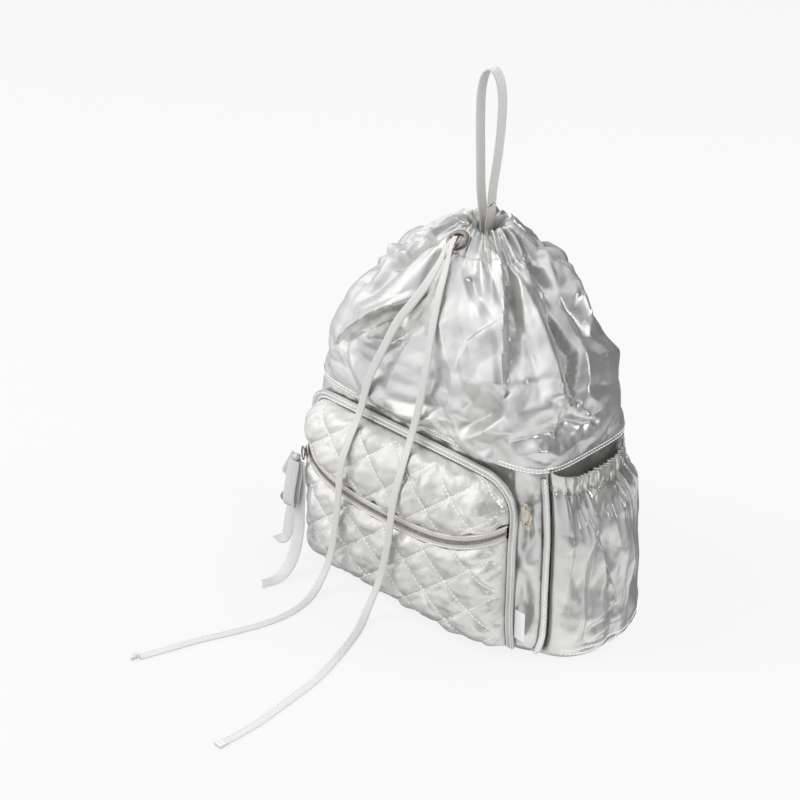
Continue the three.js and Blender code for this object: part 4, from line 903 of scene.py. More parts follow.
def pocketPoint(side, height, sunk=0.0):
    side, height, sunk = np.broadcast_arrays(side, height, sunk)
    x = side * pocketReach(height)
    up = (height - pocket["floor"]) / pocket["height"] * 2 - 1
    ends = np.sqrt(1 - np.minimum(np.abs(up), 1) ** np.where(up > 0, 3.2, 9))
    puff = np.sqrt(1 - np.minimum(np.abs(side), 1) ** 6) * ends
    rising, falling = quiltSeams(x, height)
    cell = pocket["quiltDepth"] * (rising * falling) ** 0.5 * smoothStep(0, 0.5, puff)
    cell = cell * smoothStep(zipHalf - 1, zipHalf + 9, np.abs(height - zipLine(side)))  # flat along the zip
    stand = 0.6 + pocket["pad"] + (pocket["bulge"] - pocket["pad"]) * puff
    depth = stand + cell - sunk
    # the lid slouches to its left
    overhang = 6 * smoothStep(6, 20, depth) * np.exp(-(((side + 1) / 0.3) ** 2)) * smoothStep(6, 26,
        height - zipLine(side))
    return np.stack([x - pocket["left"] - overhang, -frontReach(x - pocket["left"], height) - depth, height], -1)


def spreadSides(count):
    t = np.linspace(0, 1, count + 1)
    return np.sin((t - 0.5) * math.pi) * 0.35 + (t - 0.5) * 1.3


def quiltedPanel(name, node, lowEdge, highEdge, rows):
    sides = spreadSides(160)
    # the outermost columns turn down to the binding
    turned = np.r_[4.2, 2.6, 1.2, 0 * sides, 1.2, 2.6, 4.2]
    sides = np.r_[[-1.0] * 3, sides, [1.0] * 3]
    beyond = np.r_[-3, -2, -1, 0 * sides[3:-3], 1, 2, 3] * 1.0
    ups = np.linspace(0, 1, rows + 1)
    roll = [0.12, 0.5, 1.1, 2.0, 3.2]
    grid, flat = [], []
    low, high = lowEdge(sides), highEdge(sides)

    def addRow(height, sunk, past):
        grid.append(pocketPoint(sides, height, sunk))
        flat.append(pairs(sides * pocketReach(height) + beyond, height + past))

    for depth in roll[::-1]:
        addRow(low, 1.0 + np.maximum(depth, turned), -2 - depth)
    for up in ups:
        edge = min(up, 1 - up) * (high - low)
        addRow(low * (1 - up) + high * up, np.exp(-((edge / 2.0) ** 2)) + turned, 0)
    for depth in roll:
        addRow(high, 1.0 + np.maximum(depth, turned), 2 + depth)
    grid, flat = np.array(grid), np.array(flat)
    rising, falling = quiltSeams(flat[..., 0], flat[..., 1])
    seams = np.minimum(rising, falling)
    out = gridNormals(grid, False)
    pucker = 0.35 * np.exp(-((seams / 0.35) ** 2)) * np.sin(flat[..., 0] * 1.55
        + 2 * np.sin(flat[..., 1] * 0.21)) * np.sin(flat[..., 1] * 1.25)
    crushed = 1.5 * crumple(grid, 41, 27) * smoothStep(0.08, 0.5, seams) * smoothStep(0.5, 3,
        np.abs(grid[..., 1] + frontReach(grid[..., 0], grid[..., 2])) - 4)
    grid = grid + out * (pucker + crushed)[:, :, None]
    piece = putPiece(name, gridPart(grid, False, flat), quiltNylon, [node])
    pins = np.where(seams < 0.12, 1.0, 0.0)
    pins[:, :5] = pins[:, -5:] = 1
    pins[:6] = pins[-6:] = 1
    settleCloth(piece, pins.ravel(), 4.0, 0.02, 8, 0.9, bending=0.6)
    carry = clothCarrier(piece, flat.reshape(-1, 2))
    refine(piece)
    return carry


carryFront = quiltedPanel(
    "pocketFrontPanel", "pocket_front", lambda s: np.full_like(s, pocket["floor"]), lambda s: zipLine(s) - zipHalf,
        64)
carryLid = quiltedPanel(
    "pocketLidPanel", "pocket_lid", lambda s: zipLine(s) + zipHalf, lambda s: np.full_like(s, pocketTop), 42)

# machine stitches along every quilting seam
quiltPitch = 3.9
quiltSpots = ([], [], [])
for slope in (1, -1):
    for number in range(-8, 9):
        heights = np.arange(pocket["floor"] + 1, pocketTop - 1, 1.0)
        x = (number - slope * heights / pocket["quiltHeight"]) * pocket["quiltWidth"]
        side = x / pocketReach(heights)
        zipAt = zipLine(np.clip(side, -1, 1))
        for carry, keep in ((carryFront, heights < zipAt - zipHalf - 1), (carryLid, heights > zipAt + zipHalf + 1)):
            keep = keep & (np.abs(side) < 0.985)
            if keep.sum() > 3:
                stitchLine(quiltSpots, carry, np.stack([x[keep], heights[keep]], 1), quiltPitch, 0.12)
sew("quiltStitches", "quilted_nylon", "quilt", quiltSpots)
print("quilted pocket made,", len(quiltSpots[0]), "stitches")

# bound edge round the pocket, with two rows of stitches
bindingOut = pocket["binding"] / 2 + 0.75


def bindingPoint(side, flatX, height):
    x = side * flatX - pocket["left"]
    return (x, -float(frontReach(abs(x) - bindingOut, height)) - 1.5 - pocket["bindingThick"] / 2, height)


def bindingHalf(side):
    low = [bindingPoint(side, pocket["width"] / 2 + bindingOut,
        pocket["floor"] + 1 + (pocket["height"] - pocket["corner"] - 1) * share) for share in (0, 0.2, 0.4, 0.6, 0.8)]
    reach = pocket["corner"] + bindingOut
    turns = [math.radians(angle) for angle in (0, 18, 36, 54, 72, 90)]
    return low + [bindingPoint(side, pocket["width"] / 2 - pocket["corner"] + reach * math.cos(t),
        pocketTop - pocket["corner"] + reach * math.sin(t)) for t in turns]


bindingPath, bindingReach = evenPath(smoothPath(bindingHalf(-1) + bindingHalf(1)[::-1], 10), 2.0)
bindingTaper = 1 + 0.035 * np.sin(bindingReach * 1.8) + 0.05 * wavyNoise(bindingReach / 14, bindingReach * 0, 6)
bindingBand = sweep(bindingPath, (0, -1, 0),
    flatSection(pocket["binding"] + 0.9, pocket["bindingThick"] - 0.4, 8, 0.2), taper=bindingTaper)
putPiece("pocketBinding", bindingBand, silverNylon, ["pocket_binding"])
bindingEven, _ = evenPath(bindingPath, 3.1)
bindingAlong = along(bindingEven)
bindingBroad = unit(np.cross((0, -1, 0), bindingAlong))
bindingRows = [bindingEven + bindingBroad * offset + (0, -1.75, 0) for offset in (-2.3, 1.9)]
sew("bindingStitches", "coated_nylon", "binding", *[(row, bindingAlong, (0, -1, 0)) for row in bindingRows])

# zip
zipSides = 0.998 * spreadSides(140)


def zipStrip(name, node, low, high):
    offsets = np.linspace(low, high, 5)
    grid = np.array([pocketPoint(zipSides, zipLine(zipSides) + offset, 1.2) for offset in offsets])
    flat = pairs(offsets[:, None], zipSides * pocket["width"] / 2)
    piece = putPiece(name, gridPart(grid, False, flat), zipTapeWeave, [node])
    thick = piece.modifiers.new("tapeThickness", "SOLIDIFY")
    thick.thickness = 0.6 * mm


zipStrip("zipTapeLower", "zip_tape_lower", -zipHalf + 0.1, -0.5)
zipStrip("zipTapeUpper", "zip_tape_upper", 0.5, zipHalf - 0.1)
coilPath, _ = evenPath(pocketPoint(zipSides, zipLine(zipSides), 0.9), 0.95)
coilAlong = along(coilPath)
coilOut = unit(np.cross(coilAlong, (0, 0, 1)))
coilUp = np.cross(coilOut, coilAlong)
sway = np.where(np.arange(len(coilPath)) % 2, 0.55, -0.55)[:, None]
coilTeeth = stitchParts(coilPath + coilUp * sway + coilOut * 0.25, coilUp, coilOut, *stitchSizes["coil"])
putPiece("zipCoil", coilTeeth, coilNylon, ["zip_coil"])
tapeLines = []
for offset in (-zipHalf + 1.6, zipHalf - 1.6):
    line, _ = evenPath(pocketPoint(zipSides, zipLine(zipSides) + offset, 1.1), 3.0)
    tapeLines.append((line, along(line), (0, -1, 0)))
sew("zipTapeStitches", "zip_tape", "tape", *tapeLines)


def roundedBlock(size, bevel):
    sheet = bmesh.new()
    bmesh.ops.create_cube(sheet, size=1)
    bmesh.ops.scale(sheet, vec=Vector(size), verts=sheet.verts)
    bmesh.ops.bevel(sheet, geom=sheet.edges[:], offset=bevel, segments=3, affect="EDGES", profile=0.5)
    points = np.array([v.co[:] for v in sheet.verts])
    faces = [tuple(v.index for v in f.verts) for f in sheet.faces]
    sheet.free()
    return points, faces


def nodeMiddle(node):
    low, high = (np.array(corner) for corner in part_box(node))
    return (low + high) / 2 / mm, (high - low) / mm


def placed(part, middle, axes):
    return (np.asarray(part[0]) @ np.asarray(axes) + middle, part[1]) + tuple(part[2:])


slider = {"side": -0.87, "plate": (11, 7.6, 1.3), "bevel": 0.6, "bridge": 3.6, "bridgeWire": 0.8, "ring": 6,
    "ringWire": 0.75}
besideSlider = slider["side"] + np.array([-0.04, 0.04])
around = pocketPoint(besideSlider, zipLine(besideSlider), 0.9)
sliderAlong = unit(around[1] - around[0])
climbing = pocketPoint(slider["side"], zipLine(slider["side"]) + np.array([-2.0, 2.0]), 0.9)
sliderOut = unit(np.cross(sliderAlong, climbing[1] - climbing[0]))
sliderUp = np.cross(sliderOut, sliderAlong)
sliderAxes = np.array([sliderAlong, sliderUp, sliderOut])
sliderMiddle = nodeMiddle("zip_slider")[0]
plate = placed(roundedBlock(slider["plate"], slider["bevel"]), sliderMiddle - sliderOut * 0.4, sliderAxes)
bridgeTurn = np.linspace(0, math.pi, 14)
bridgePath = sliderMiddle + np.outer(np.cos(bridgeTurn) * slider["bridge"],
    sliderAlong) + np.outer(np.sin(bridgeTurn) * 1.5 - 0.1, sliderOut)
bridge = sweep(bridgePath, sliderUp, roundSection(slider["bridgeWire"], 10) * (1, 2.0))
sliderParts = joinParts([plate, bridge])
putPiece("zipSlider", sliderParts, nickel, ["zip_slider"])
ringMiddle = nodeMiddle("pull_ring")[0]
ringTurn = np.linspace(0, 2 * math.pi, 56, endpoint=False)
ringPath = ringMiddle + (np.outer(np.cos(ringTurn), sliderAlong)
    + np.outer(np.sin(ringTurn), sliderUp)) * slider["ring"]
ringBand = sweep(ringPath, sliderOut, roundSection(slider["ringWire"], 12), closed=True)
putPiece("pullRing", ringBand, nickel, ["pull_ring"])
print("zip made")

# ribbon bow and bell
bow = {"width": 12.5, "thickness": 0.7, "knotWidth": 7.4, "knotHeight": 6.2}
knotPlace = nodeMiddle("bow_knot")[0]
fall = knotPlace[2] - 0.9 / 2 - 0.3
# x and y from the knot, drop as a share of its height, then the way the ribbon faces
ribbons = {
    "bowLoopFront": ("bow_loop_front", [
        (-1, -1.9, 0.034, 0.1, -1, 0), (-1.5, -5, 0.16, 0.2, -1, 0.1), (-1.5, -9, 0.3, 0.2, -1, 0),
        (-1, -11, 0.42, 0.2, -1, 0), (-0.5, -9, 0.45, 0.1, -0.4, -1),
        (0.5, -7, 0.42, -0.2, 1, 0), (1, -4.6, 0.3, -0.2, 1, 0), (1, -1.2, 0.16, -0.2, 1, 0),
            (0.5, -0.1, 0.036, -0.1, 1, 0)]),
    "bowLoopSide": ("bow_loop_side", [
        (-4.5, 4.5, 0.02, 0.1, -1, 0), (-13, 5.5, 0.14, 0.1, -1, 0), (-21, 6, 0.27, 0.1, -1, 0),
        (-22, 8, 0.31, -0.6, 0, -0.8),
        (-20, 10, 0.28, 0, 1, 0), (-13, 10, 0.15, 0, 1, 0)]),
    "bowTailLong": ("bow_tail_long", [
        (2.5, 1.5, 0.034, 0, -1, 0), (3.5, 0.5, 0.27, 0.1, -1, 0), (6, -3.4, 0.46, 0.1, -1, 0.1),
        (11, -11, 0.69, 0.2, -1, 0.4),
        (16, -26, 0.89, 0.2, -0.8, 0.7), (16, -42, 0.985, 0, -0.3, 1), (11, -58, 0.995, 0, 0, 1)]),
    "bowTailShort": ("bow_tail_short", [
        (-5, 3.1, 0.018, 0, -1, 0), (-7, 3.2, 0.27, 0.1, -1, 0), (-7, 0.5, 0.46, 0.1, -1, 0),
        (-6, -6, 0.62, 0.1, -1, 0.3),
        (-5, -11, 0.75, 0, -1, 0.4), (-8, -13, 0.79, 0, -0.7, 0.8), (-13, -13, 0.78, -0.3, -0.3, 1)]),
}
for name, (node, stops) in ribbons.items():
    stops = np.array(stops, float)
    route = knotPlace + stops[:, :3] * (1, 1, -fall)
    path, reach, facing = facedPath(route, stops[:, 3:], 1.6)
    curl = sweep(path, facing, flatSection(bow["width"], bow["thickness"], 8, 0.5))
    points = curl[0].reshape(len(path), -1, 3)
    if "Tail" in name:  # the free end is cut on a slant
        tangent = unit(path[-1] - path[-2])
        lean = curl[2].reshape(len(path), -1, 2)[-1, :, 0]
        points[-1] += np.outer(lean * 0.45, tangent)
    piece = putPiece(name, (points.reshape(-1, 3), *curl[1:]), satin, [node])

# the knot is the ribbon wrapped tight: gathered lengthways
knotRows, knotColumns = 14, 40
rowTurn = np.linspace(0.06, math.pi - 0.06, knotRows + 1)[:, None]
columnTurn = (np.arange(knotColumns) / knotColumns * 2 * math.pi)[None, :]
puff = 1 + 0.07 * np.cos(7 * columnTurn + 1.2 * np.cos(rowTurn)) * np.sin(rowTurn)
knotGrid = np.stack([puff * np.sin(rowTurn) * np.cos(columnTurn) * bow["knotWidth"] / 2,
    puff * np.sin(rowTurn) * np.sin(columnTurn) * bow["knotWidth"] / 2,
    -np.cos(rowTurn) * bow["knotHeight"] / 2 + columnTurn * 0], -1) + knotPlace
putPiece("bowKnot", gridPart(knotGrid, True, np.zeros(knotGrid.shape[:2] + (2,))), satin,
    ["bow_knot"])

bellMiddle = nodeMiddle("bell")[0]
bell = {"radius": 4.6, "rim": 0.35, "hoop": 1.5, "hoopWire": 0.45}
rowTurn = np.linspace(0.02, math.pi - 0.02, 33)
# a pressed rim runs round the middle
bellReach = np.sin(rowTurn) * bell["radius"] + bell["rim"] * np.exp(-(((rowTurn - math.pi / 2) / 0.07) ** 2))
turn = np.arange(40) / 40 * 2 * math.pi
bellGrid = np.stack([np.outer(bellReach, np.cos(turn)), np.outer(bellReach, np.sin(turn)),
    np.outer(-np.cos(rowTurn) * bell["radius"], np.ones(40))], -1) + bellMiddle
hoopTurn = np.linspace(0, 2 * math.pi, 28, endpoint=False)
hoopPath = bellMiddle + np.stack([np.cos(hoopTurn) * bell["hoop"], hoopTurn * 0,
    np.sin(hoopTurn) * bell["hoop"] + bell["radius"] + 0.9], 1)
hoop = sweep(hoopPath, (0, -1, 0), roundSection(bell["hoopWire"], 8), closed=True)
bellParts = joinParts([gridPart(bellGrid, True), hoop[:2]])
putPiece("bell", bellParts, nickel, ["bell"])
print("bow and bell made")

# side pockets: gathered under an elastic, bound to the body at the front
sidePocket = {"height": 184, "front": 51, "rear": 61, "bulge": 25, "hiddenFront": 40, "hiddenBulge": 14,
    "foldDepth": 1.2, "folds": 7, "wall": 2, "gathers": 13, "casing": 17, "drawnIn": 0.34, "crumple": 4.2,
    "pitch": 56, "halfWidth": 56.0}
# rise, bulge, lean of the front edge
sideSections = np.array([
    (0.005, 0.15, 1.1), (0.0025, 0.7, 1.12), (0.008, 1.08, 1.12), (0.06, 1.1, 1.1), (0.22, 1, 1.06),
    (0.45, 0.98, 1.03), (0.68, 0.88, 1), (0.85, 0.66, 1), (0.91, 0.46, 1), (1, 0.5, 1),
])
# creases of the pocket, as on the upper cloth: place from front to back and rise, then the profile across
pocketCreases = [
    ([(-0.75, 0.91), (-0.74, 0.79), (-0.75, 0.66), (-0.8, 0.44), (-0.92, 0.21)],
    [(-16, 0), (-5, 3), (0, -6.5), (10, 0)]),
    ([(-0.46, 0.86), (-0.46, 0.74), (-0.58, 0.64), (-0.69, 0.49), (-0.88, 0.21), (-0.94, 0.06)],
    [(-13, 0), (0, 8), (16, -3.5), (28, 0)]),
    ([(-0.25, 0.9), (-0.22, 0.82), (-0.16, 0.65), (-0.04, 0.38)], [(-15, 0), (-8, 2), (0, -9), (14, 2.5), (26, 0)]),
    ([(0.24, 0.86), (0.32, 0.69), (0.4, 0.4), (0.23, 0.14)], [(-15, 0), (0, 6), (13, 0)]),
    ([(-0.7, 0.15), (-0.31, 0.21), (0.1, 0.25)], [(-14, 0), (-5, -1.8), (0, 1.6), (14, 0)]),
    ([(-0.6, 0.07), (-0.14, 0.13), (0.3, 0.14)], [(-8, 0), (-3, -0.9), (0, 0.9), (9, 0)]),
    ([(-0.98, 0.7), (-0.88, 0.62), (-0.78, 0.64)], [(-6, 0), (0, 2.6), (5, -2), (10, 0)]),
    ([(-0.96, 0.52), (-0.86, 0.42), (-0.8, 0.3)], [(-8, 0), (0, 3), (6, -1), (10, 0)]),
    ([(0.6, 0.8), (0.66, 0.5), (0.6, 0.2)], [(-12, 0), (0, -4), (12, 0)]),
]


def sidePocketPoints(side, front, bulge, places, ups):
    rows = tableAt(sideSections, ups * (len(sideSections) - 1))
    grid = []
    roundness = (1 - np.minimum(np.abs(places), 1) ** 2.6) ** 0.55
    a, b = np.broadcast_arrays(places[None, :] * sidePocket["halfWidth"], rows[:, :1] * sidePocket["height"])
    lift = np.zeros(a.shape)
    for line, profile in pocketCreases:
        lift += creaseShape(a, b, [(at * sidePocket["halfWidth"], up * sidePocket["height"]) for at, up in line],
            profile)
    lift += sidePocket["crumple"] * crumple(np.stack([a, b, 0 * a], -1), 31, sidePocket["pitch"])
    for k, (rise, swell, lean) in enumerate(rows):
        rise = max(rise, 0.002)
        rear = sidePocket["rear"] * (1 - sidePocket["drawnIn"] * float(smoothStep(0.72, 1, rise)))
        y = places * np.where(places < 0, front * lean, rear)
        wander = places + 0.035 * math.sin(7 * rise + 1.0) * roundness
        fold = np.cos(math.pi * (sidePocket["folds"] * wander + 0.7 * np.sin(4 * wander)))
        drape = (lift[k] + sidePocket["foldDepth"] * fold * smoothStep(0.15, 0.8, rise)) * (1
            - 0.85 * smoothStep(0.86, 0.92, rise))
        sway = places + 0.03 * np.sin(9 * places) + 0.012 * np.sin(31 * places + 8 * rise)
        gather = 1.2 - 2.3 * np.abs(np.sin(math.pi * sidePocket["gathers"] * sway)) ** 0.8 + 0.5 * np.sin(47 * places
            + 6 * rise)
        drape = drape * bulge / sidePocket["bulge"] * smoothStep(0, 0.05,
            rise) + (2.1 * smoothStep(0.66, 0.9, rise) + 0.5) * gather * smoothStep(0.5, 0.75, rise)
        drape -= 1.8 * np.exp(-(((rise - 1 + sidePocket["casing"] / sidePocket["height"]) / 0.008) ** 2))
        drape += 0.7 * smoothStep(0.075, 0.06, rise)  # turned hem
        dip = 1 - 0.05 * roundness * smoothStep(0.6, 1, rise)
        height = sidePocket["height"] * rise * dip + 0.5 * gather * smoothStep(0.97, 1, rise) * roundness
        stand = 0.9 + sidePocket["wall"] + bulge * swell * roundness + drape * roundness
        grid.append(np.stack([side * (sideReach(y, height) + np.maximum(stand, 1.0)), y, height], -1))
    # the casing turns over at the top and is sewn down inside
    for inward, down in ((0.8, -0.9), (1.9, -0.9), (2.7, 0.2), (2.8, 6), (2.5, 17)):
        grid.append(grid[len(rows) - 1] + np.array([-side * inward, 0, -down])
            * np.stack([roundness, 0 * roundness, 0 * roundness + 1], -1))
    return np.array(grid)


def makeSidePocket(name, node, side, front, bulge, columns, rows):
    places = np.linspace(-1, 1, columns + 1)
    ups = np.r_[np.linspace(0, 0.3, rows // 4), np.linspace(0.3, 1, rows - rows // 4 + 1)[1:]]
    grid = sidePocketPoints(side, front, bulge, places, ups)
    rise = tableAt(sideSections, ups * (len(sideSections) - 1))[:, 0] * sidePocket["height"]
    rise = np.r_[rise, rise[-1] + np.array([1.2, 2.4, 3.6, 10, 21])]
    flat = pairs(places * 75, rise[:, None])
    if side < 0:
        grid, flat = grid[:, ::-1], flat[:, ::-1]
    piece = putPiece(name, gridPart(grid, False, flat), silverNylon, [node])
    pins = np.zeros(grid.shape[:2])
    pins[:, :2] = pins[:, -2:] = 1
    pins[:6] = 1
    pins[-6:] = 1
    pins += 0.8 * (np.abs(rise - sidePocket["height"] + sidePocket["casing"]) < 2.5)[:, None]
    settleCloth(piece, np.clip(pins, 0, 1).ravel(), 1.2, 0.015, 8, 1.6, bending=0.8)
    carry = clothCarrier(piece, flat.reshape(-1, 2))
    thick = piece.modifiers.new("clothThickness", "SOLIDIFY")
    thick.thickness = 0.8 * mm
    casingRise = sidePocket["height"] - sidePocket["casing"]
    lines = [[(x, casingRise + 0.95) for x in np.linspace(-68, 68, 120)]]
    lines += [[(x, h) for x in np.linspace(-70, 70, 120)] for h in (5.0, 9.5)]
    spots = ([], [], [])
    for line in lines:
        stitchLine(spots, carry, line, 3.6, 0.15)
    sew(name + "Stitches", "coated_nylon", "hem", spots)


def makeSideSeam(name, node, side, front):
    heights = np.linspace(3, sidePocket["height"] - 6, 90)
    lean = np.interp(heights / sidePocket["height"], sideSections[2:, 0], sideSections[2:, 2])
    y = -front * lean - 0.6 - 3
    slope = (sideReach(y + 1, heights) - sideReach(y - 1, heights)) / 2
    facing = unit(np.stack([np.full_like(y, side), -slope, 0 * y], 1))
    path = np.stack([side * sideReach(y, heights), y, heights], 1) + facing * 2.7
    wobble = 1 + 0.05 * wavyNoise(heights / 9, heights * 0, 9)
    strip = sweep(path, facing, flatSection(6, 1.9, 6, 0.3), taper=wobble)
    putPiece(name, strip, silverNylon, [node])
    even, _ = evenPath(path, 2.2)
    run = along(even)
    out = valuesAt(even[:, 2], heights, facing)
    broad = unit(np.cross(out, run))
    turnSign = np.where(np.arange(len(even)) % 2, 1.0, -1.0)[:, None]
    sew(name + "Zigzag", "coated_nylon", "zigzag", (even + out * 1.2, run + broad * turnSign * 1.1, out))


makeSidePocket("sidePocketRight", "side_pocket_right", 1, sidePocket["front"], sidePocket["bulge"], 190, 130)
makeSidePocket("sidePocketLeft", "side_pocket_left", -1, sidePocket["hiddenFront"], sidePocket["hiddenBulge"], 130,
    90)
makeSideSeam("sideSeamRight", "side_seam_right", 1, sidePocket["front"])
makeSideSeam("sideSeamLeft", "side_seam_left", -1, sidePocket["hiddenFront"])
print("side pockets made")

# metal ring in its tab, and the blank label
dMiddle, dSize = nodeMiddle("d_ring")
dRing = {"start": 1.5, "reach": 7.0, "halfHeight": 10.5, "straight": 9.5, "wire": 1.5}
dLeft = dMiddle[0] - dSize[0] / 2
dTurn = np.linspace(-math.pi / 2, math.pi / 2, 26)
dCurve = [(dRing["start"] + dRing["reach"] * math.cos(t) ** 0.75, dRing["halfHeight"] * math.sin(t)) for t in dTurn]
dLine = [(dRing["start"], h) for h in np.linspace(dRing["straight"], -dRing["straight"], 14)]
dPath = np.array([(dLeft + x, dMiddle[1], dMiddle[2] + z) for x, z in dCurve + dLine])
dBand = sweep(dPath, (0, -1, 0), roundSection(dRing["wire"], 12), closed=True)
putPiece("dRing", dBand, paleNickel, ["d_ring"])

tabMiddle, tabSize = nodeMiddle("d_ring_tab")
tabCentre = np.array([tabMiddle[0], tabMiddle[1] - 0.3, tabMiddle[2]])
tabPath = np.array([tabCentre + (x, y, 0)
    for x, y in ((4.6, 1.1), (2.0, 0.9), (-1.0, 0.4), (-2.6, -0.6), (-3.6, -1.9), (-3.0, -3.4), (-1.6, -4.1),
    (0.2, -3.7), (2.2, -2.2), (4.4, -0.7))])
tabFine, _ = evenPath(smoothPath(tabPath, 6), 0.7)
tabAlong = along(tabFine)
tabBand = sweep(tabFine, unit(np.cross(tabAlong, (0, 0, 1))), flatSection(tabSize[2], 1.1, 6))
putPiece("dRingTab", tabBand, silverNylon, ["d_ring_tab"])

labelMiddle, labelSize = nodeMiddle("label")
labelPath = np.array([(labelMiddle[0] + labelSize[0] / 2 - x, labelMiddle[1] - 0.25 * math.sin(x * 0.5),
    labelMiddle[2]) for x in np.linspace(0, labelSize[0], 12)])
labelBand = sweep(labelPath, (0, -1, 0), flatSection(labelSize[2], 1.3, 6))
putPiece("label", labelBand, whiteTape, ["label"])
labelSpots = np.array([(labelMiddle[0] - labelSize[0] / 2 + 1.6, labelMiddle[1] - 0.75, labelMiddle[2] + z)
    for z in np.arange(-13, 13.1, 2.6)])
sew("labelStitches", "white_tape", "label", (labelSpots, (0, 0, 1), (0, -1, 0)))

# eyelet on its sewn patch
eyeletMiddle = np.array([0, -18.5, 342.3])
eyeletOut = np.array([0, -0.51, 0.86])
eyeletSide = np.array([1.0, 0, 0])
eyeletUp = np.cross(eyeletOut, eyeletSide)
eyeletAxes = np.array([eyeletSide, eyeletUp, eyeletOut])
# radius and height of the ring's section, from the inside over the top
eyeletProfile = [(5.6, -2), (5.5, 0.5), (5.6, 3.6), (6.0, 4.7), (6.9, 5.3), (8.0, 5.4), (9.2, 5.0), (10.1, 4.5),
    (10.5, 4.1), (10.5, 3.9), (6.6, 3.9), (6.6, -2)]
turn = np.arange(56) / 56 * 2 * math.pi
eyeletRings = np.array([[(r * math.cos(t), r * math.sin(t), h) for t in turn] for r, h in reversed(eyeletProfile)])
eyeletPart = placed(gridPart(eyeletRings, True), eyeletMiddle, eyeletAxes)
putPiece("eyelet", eyeletPart, nickel, ["eyelet"])
patch = {"hole": 6.7, "radius": 15, "stretch": 0.2}
patchRings = []
for share in np.linspace(0, 1, 10):
    radius = patch["hole"] + (patch["radius"] - patch["hole"]) * share
    ring = []
    for t in turn:
        across, up = radius * math.cos(t), radius * math.sin(t) * (1 + patch["stretch"] * share)
        sag = -0.022 * across**2 - 0.010 * up**2 - 0.5 * share**4
        ring.append((across, up, 2.7 + sag + 0.25 * math.sin(9 * t) * share))
    patchRings.append(ring)
patchRings.append([(x * 0.995, y * 0.995, z - 1.2) for x, y, z in patchRings[-1]])
patchPart = placed(gridPart(np.array(patchRings)[::-1], True), eyeletMiddle, eyeletAxes)
putPiece("eyeletPatch", patchPart, silverNylon, ["eyelet_patch"])
rim = np.array(patchRings[8])
rimSpots = rim @ eyeletAxes + eyeletMiddle + eyeletOut * 0.25
sew("eyeletPatchStitches", "coated_nylon", "patch", (rimSpots[::2], alongRing(rimSpots)[::2], eyeletOut))

# webbing loop out of the mouth
loop = {"height": 142, "width": 25, "webbing": 10.5, "thickness": 1.8, "depth": 18}
loopStops = [
    (-0.12, -1), (-0.13, 0), (-0.17, 0.2), (-0.22, 0.45), (-0.26, 0.68), (-0.22, 0.86), (-0.03, 0.965), (0.28, 1),
    (0.55, 0.955), (0.7, 0.85), (0.7, 0.7), (0.58, 0.48), (0.38, 0.25), (0.2, 0.06), (0.12, 0), (0.12, -1),
]
rimHeight = body["seam"] + body["rise"]
lipBack = body["mouthBack"] + body["mouthDepth"] / 2 + (halfDepth - body["mouthDepth"] / 2) * -0.05
loopSeat = lipBack - loop["webbing"] / 2 - 0.9
loopRoute = []
for across, up in loopStops:
    height = rimHeight + (loop["depth"] if up < 0 else loop["height"]) * up
    loopRoute.append((loop["width"] * across,
        loopSeat - float(smoothStep(0, 0.25, up)) * (loopSeat - body["mouthBack"]), height))
loopRoute = np.array(loopRoute)
loopMiddle = np.array([loop["width"] * 0.29, 0, rimHeight + loop["height"] * 0.8])
looks = loopRoute - loopMiddle
looks[:, 1] = 0
looks[loopRoute[:, 2] < loopMiddle[2], 2] = 0
loopPath, _, loopFacing = facedPath(loopRoute, unit(looks), 2.2)
loopBand = sweep(loopPath, loopFacing, flatSection(loop["webbing"], loop["thickness"], 8))
putPiece("loopHandle", loopBand, ribbedWebbing, ["loop_handle"])

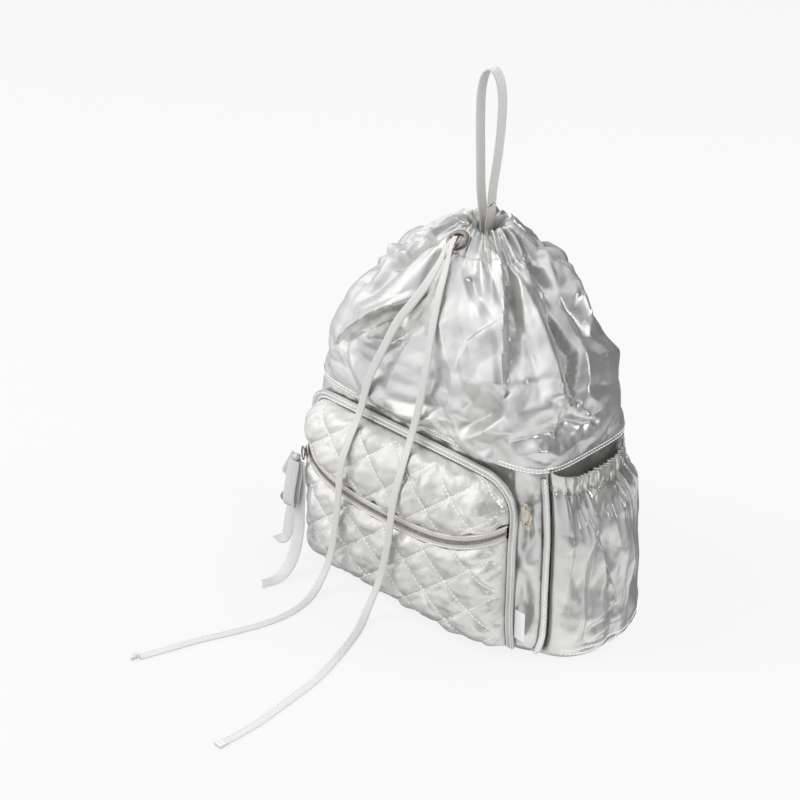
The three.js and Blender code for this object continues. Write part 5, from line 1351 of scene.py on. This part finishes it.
# shoulder straps and their webbing, on the back
strap = {"width": 56, "thickness": 10, "length": 130, "top": 178, "spread": 70, "bow": 13, "webbing": 25,
    "webbingThick": 1.8, "footX": 98, "foot": 14, "stitchedAt": 23.5}
strapStops = [(0.72, 0, 0), (0.86, 0.12, 0.55), (1.02, 0.32, 0.95), (1.1, 0.52, 1), (1.1, 0.72, 0.8),
    (1.02, 0.88, 0.4), (0.95, 1, 0.1)]
for side, word in ((1, "Right"), (-1, "Left")):
    route = []
    for across, down, off in strapStops:
        x, z = strap["spread"] * across, strap["top"] - strap["length"] * down
        route.append((side * x, float(frontReach(x - strap["width"] / 2, z)) + strap["thickness"] / 2 + 1.2
            + strap["bow"] * off, z))
    path, reach = evenPath(smoothPath(route, 10), 2.5)
    backwards = (0, 1, 0)
    # both ends of the pad are sewn down, so they thin out
    sewnDown = 0.8 + 0.2 * np.sqrt(np.clip(np.minimum(reach, reach[-1] - reach) / 9, 0, 1))
    pad = sweep(path, backwards, flatSection(strap["width"], strap["thickness"] - 2.4, 18, 1.0),
        taper=sewnDown + 0.012 * wavyNoise(reach / 12, reach * 0, 14))
    piece = putPiece("shoulderStrap" + word, pad, silverNylon, ["shoulder_strap_" + word.lower()])
    run = along(path)
    broad = unit(np.cross(backwards, run))
    edges = [(path + broad * offset + (0, strap["thickness"] / 2 - 1.4, 0))[1:-1]
        for offset in (-strap["stitchedAt"], strap["stitchedAt"])]
    sew("strapStitches" + word, "coated_nylon", "tape", *[(edge, run[1:-1], backwards) for edge in edges])
    foot = np.array(route[-1])
    low = []
    for share in (0, 0.33, 0.66, 1):
        x = abs(foot[0]) + (strap["footX"] - abs(foot[0])) * share
        z = foot[2] - 0.6 + (strap["foot"] - foot[2] + 0.6) * share
        low.append((side * x, float(frontReach(x - strap["webbing"] / 2, z)) + strap["webbingThick"] / 2 + 0.9, z))
    lowPath, _ = evenPath(smoothPath(low, 8), 2.5)
    tape = sweep(lowPath, (0, 1, 0), flatSection(strap["webbing"], strap["webbingThick"], 10))
    putPiece("strapWebbing" + word, tape, ribbedWebbing, ["strap_webbing_" + word.lower()])

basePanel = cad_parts["base_panel"]
for materialSlot in basePanel.material_slots:
    materialSlot.material = silverNylon
print("loop, straps and small pieces made")
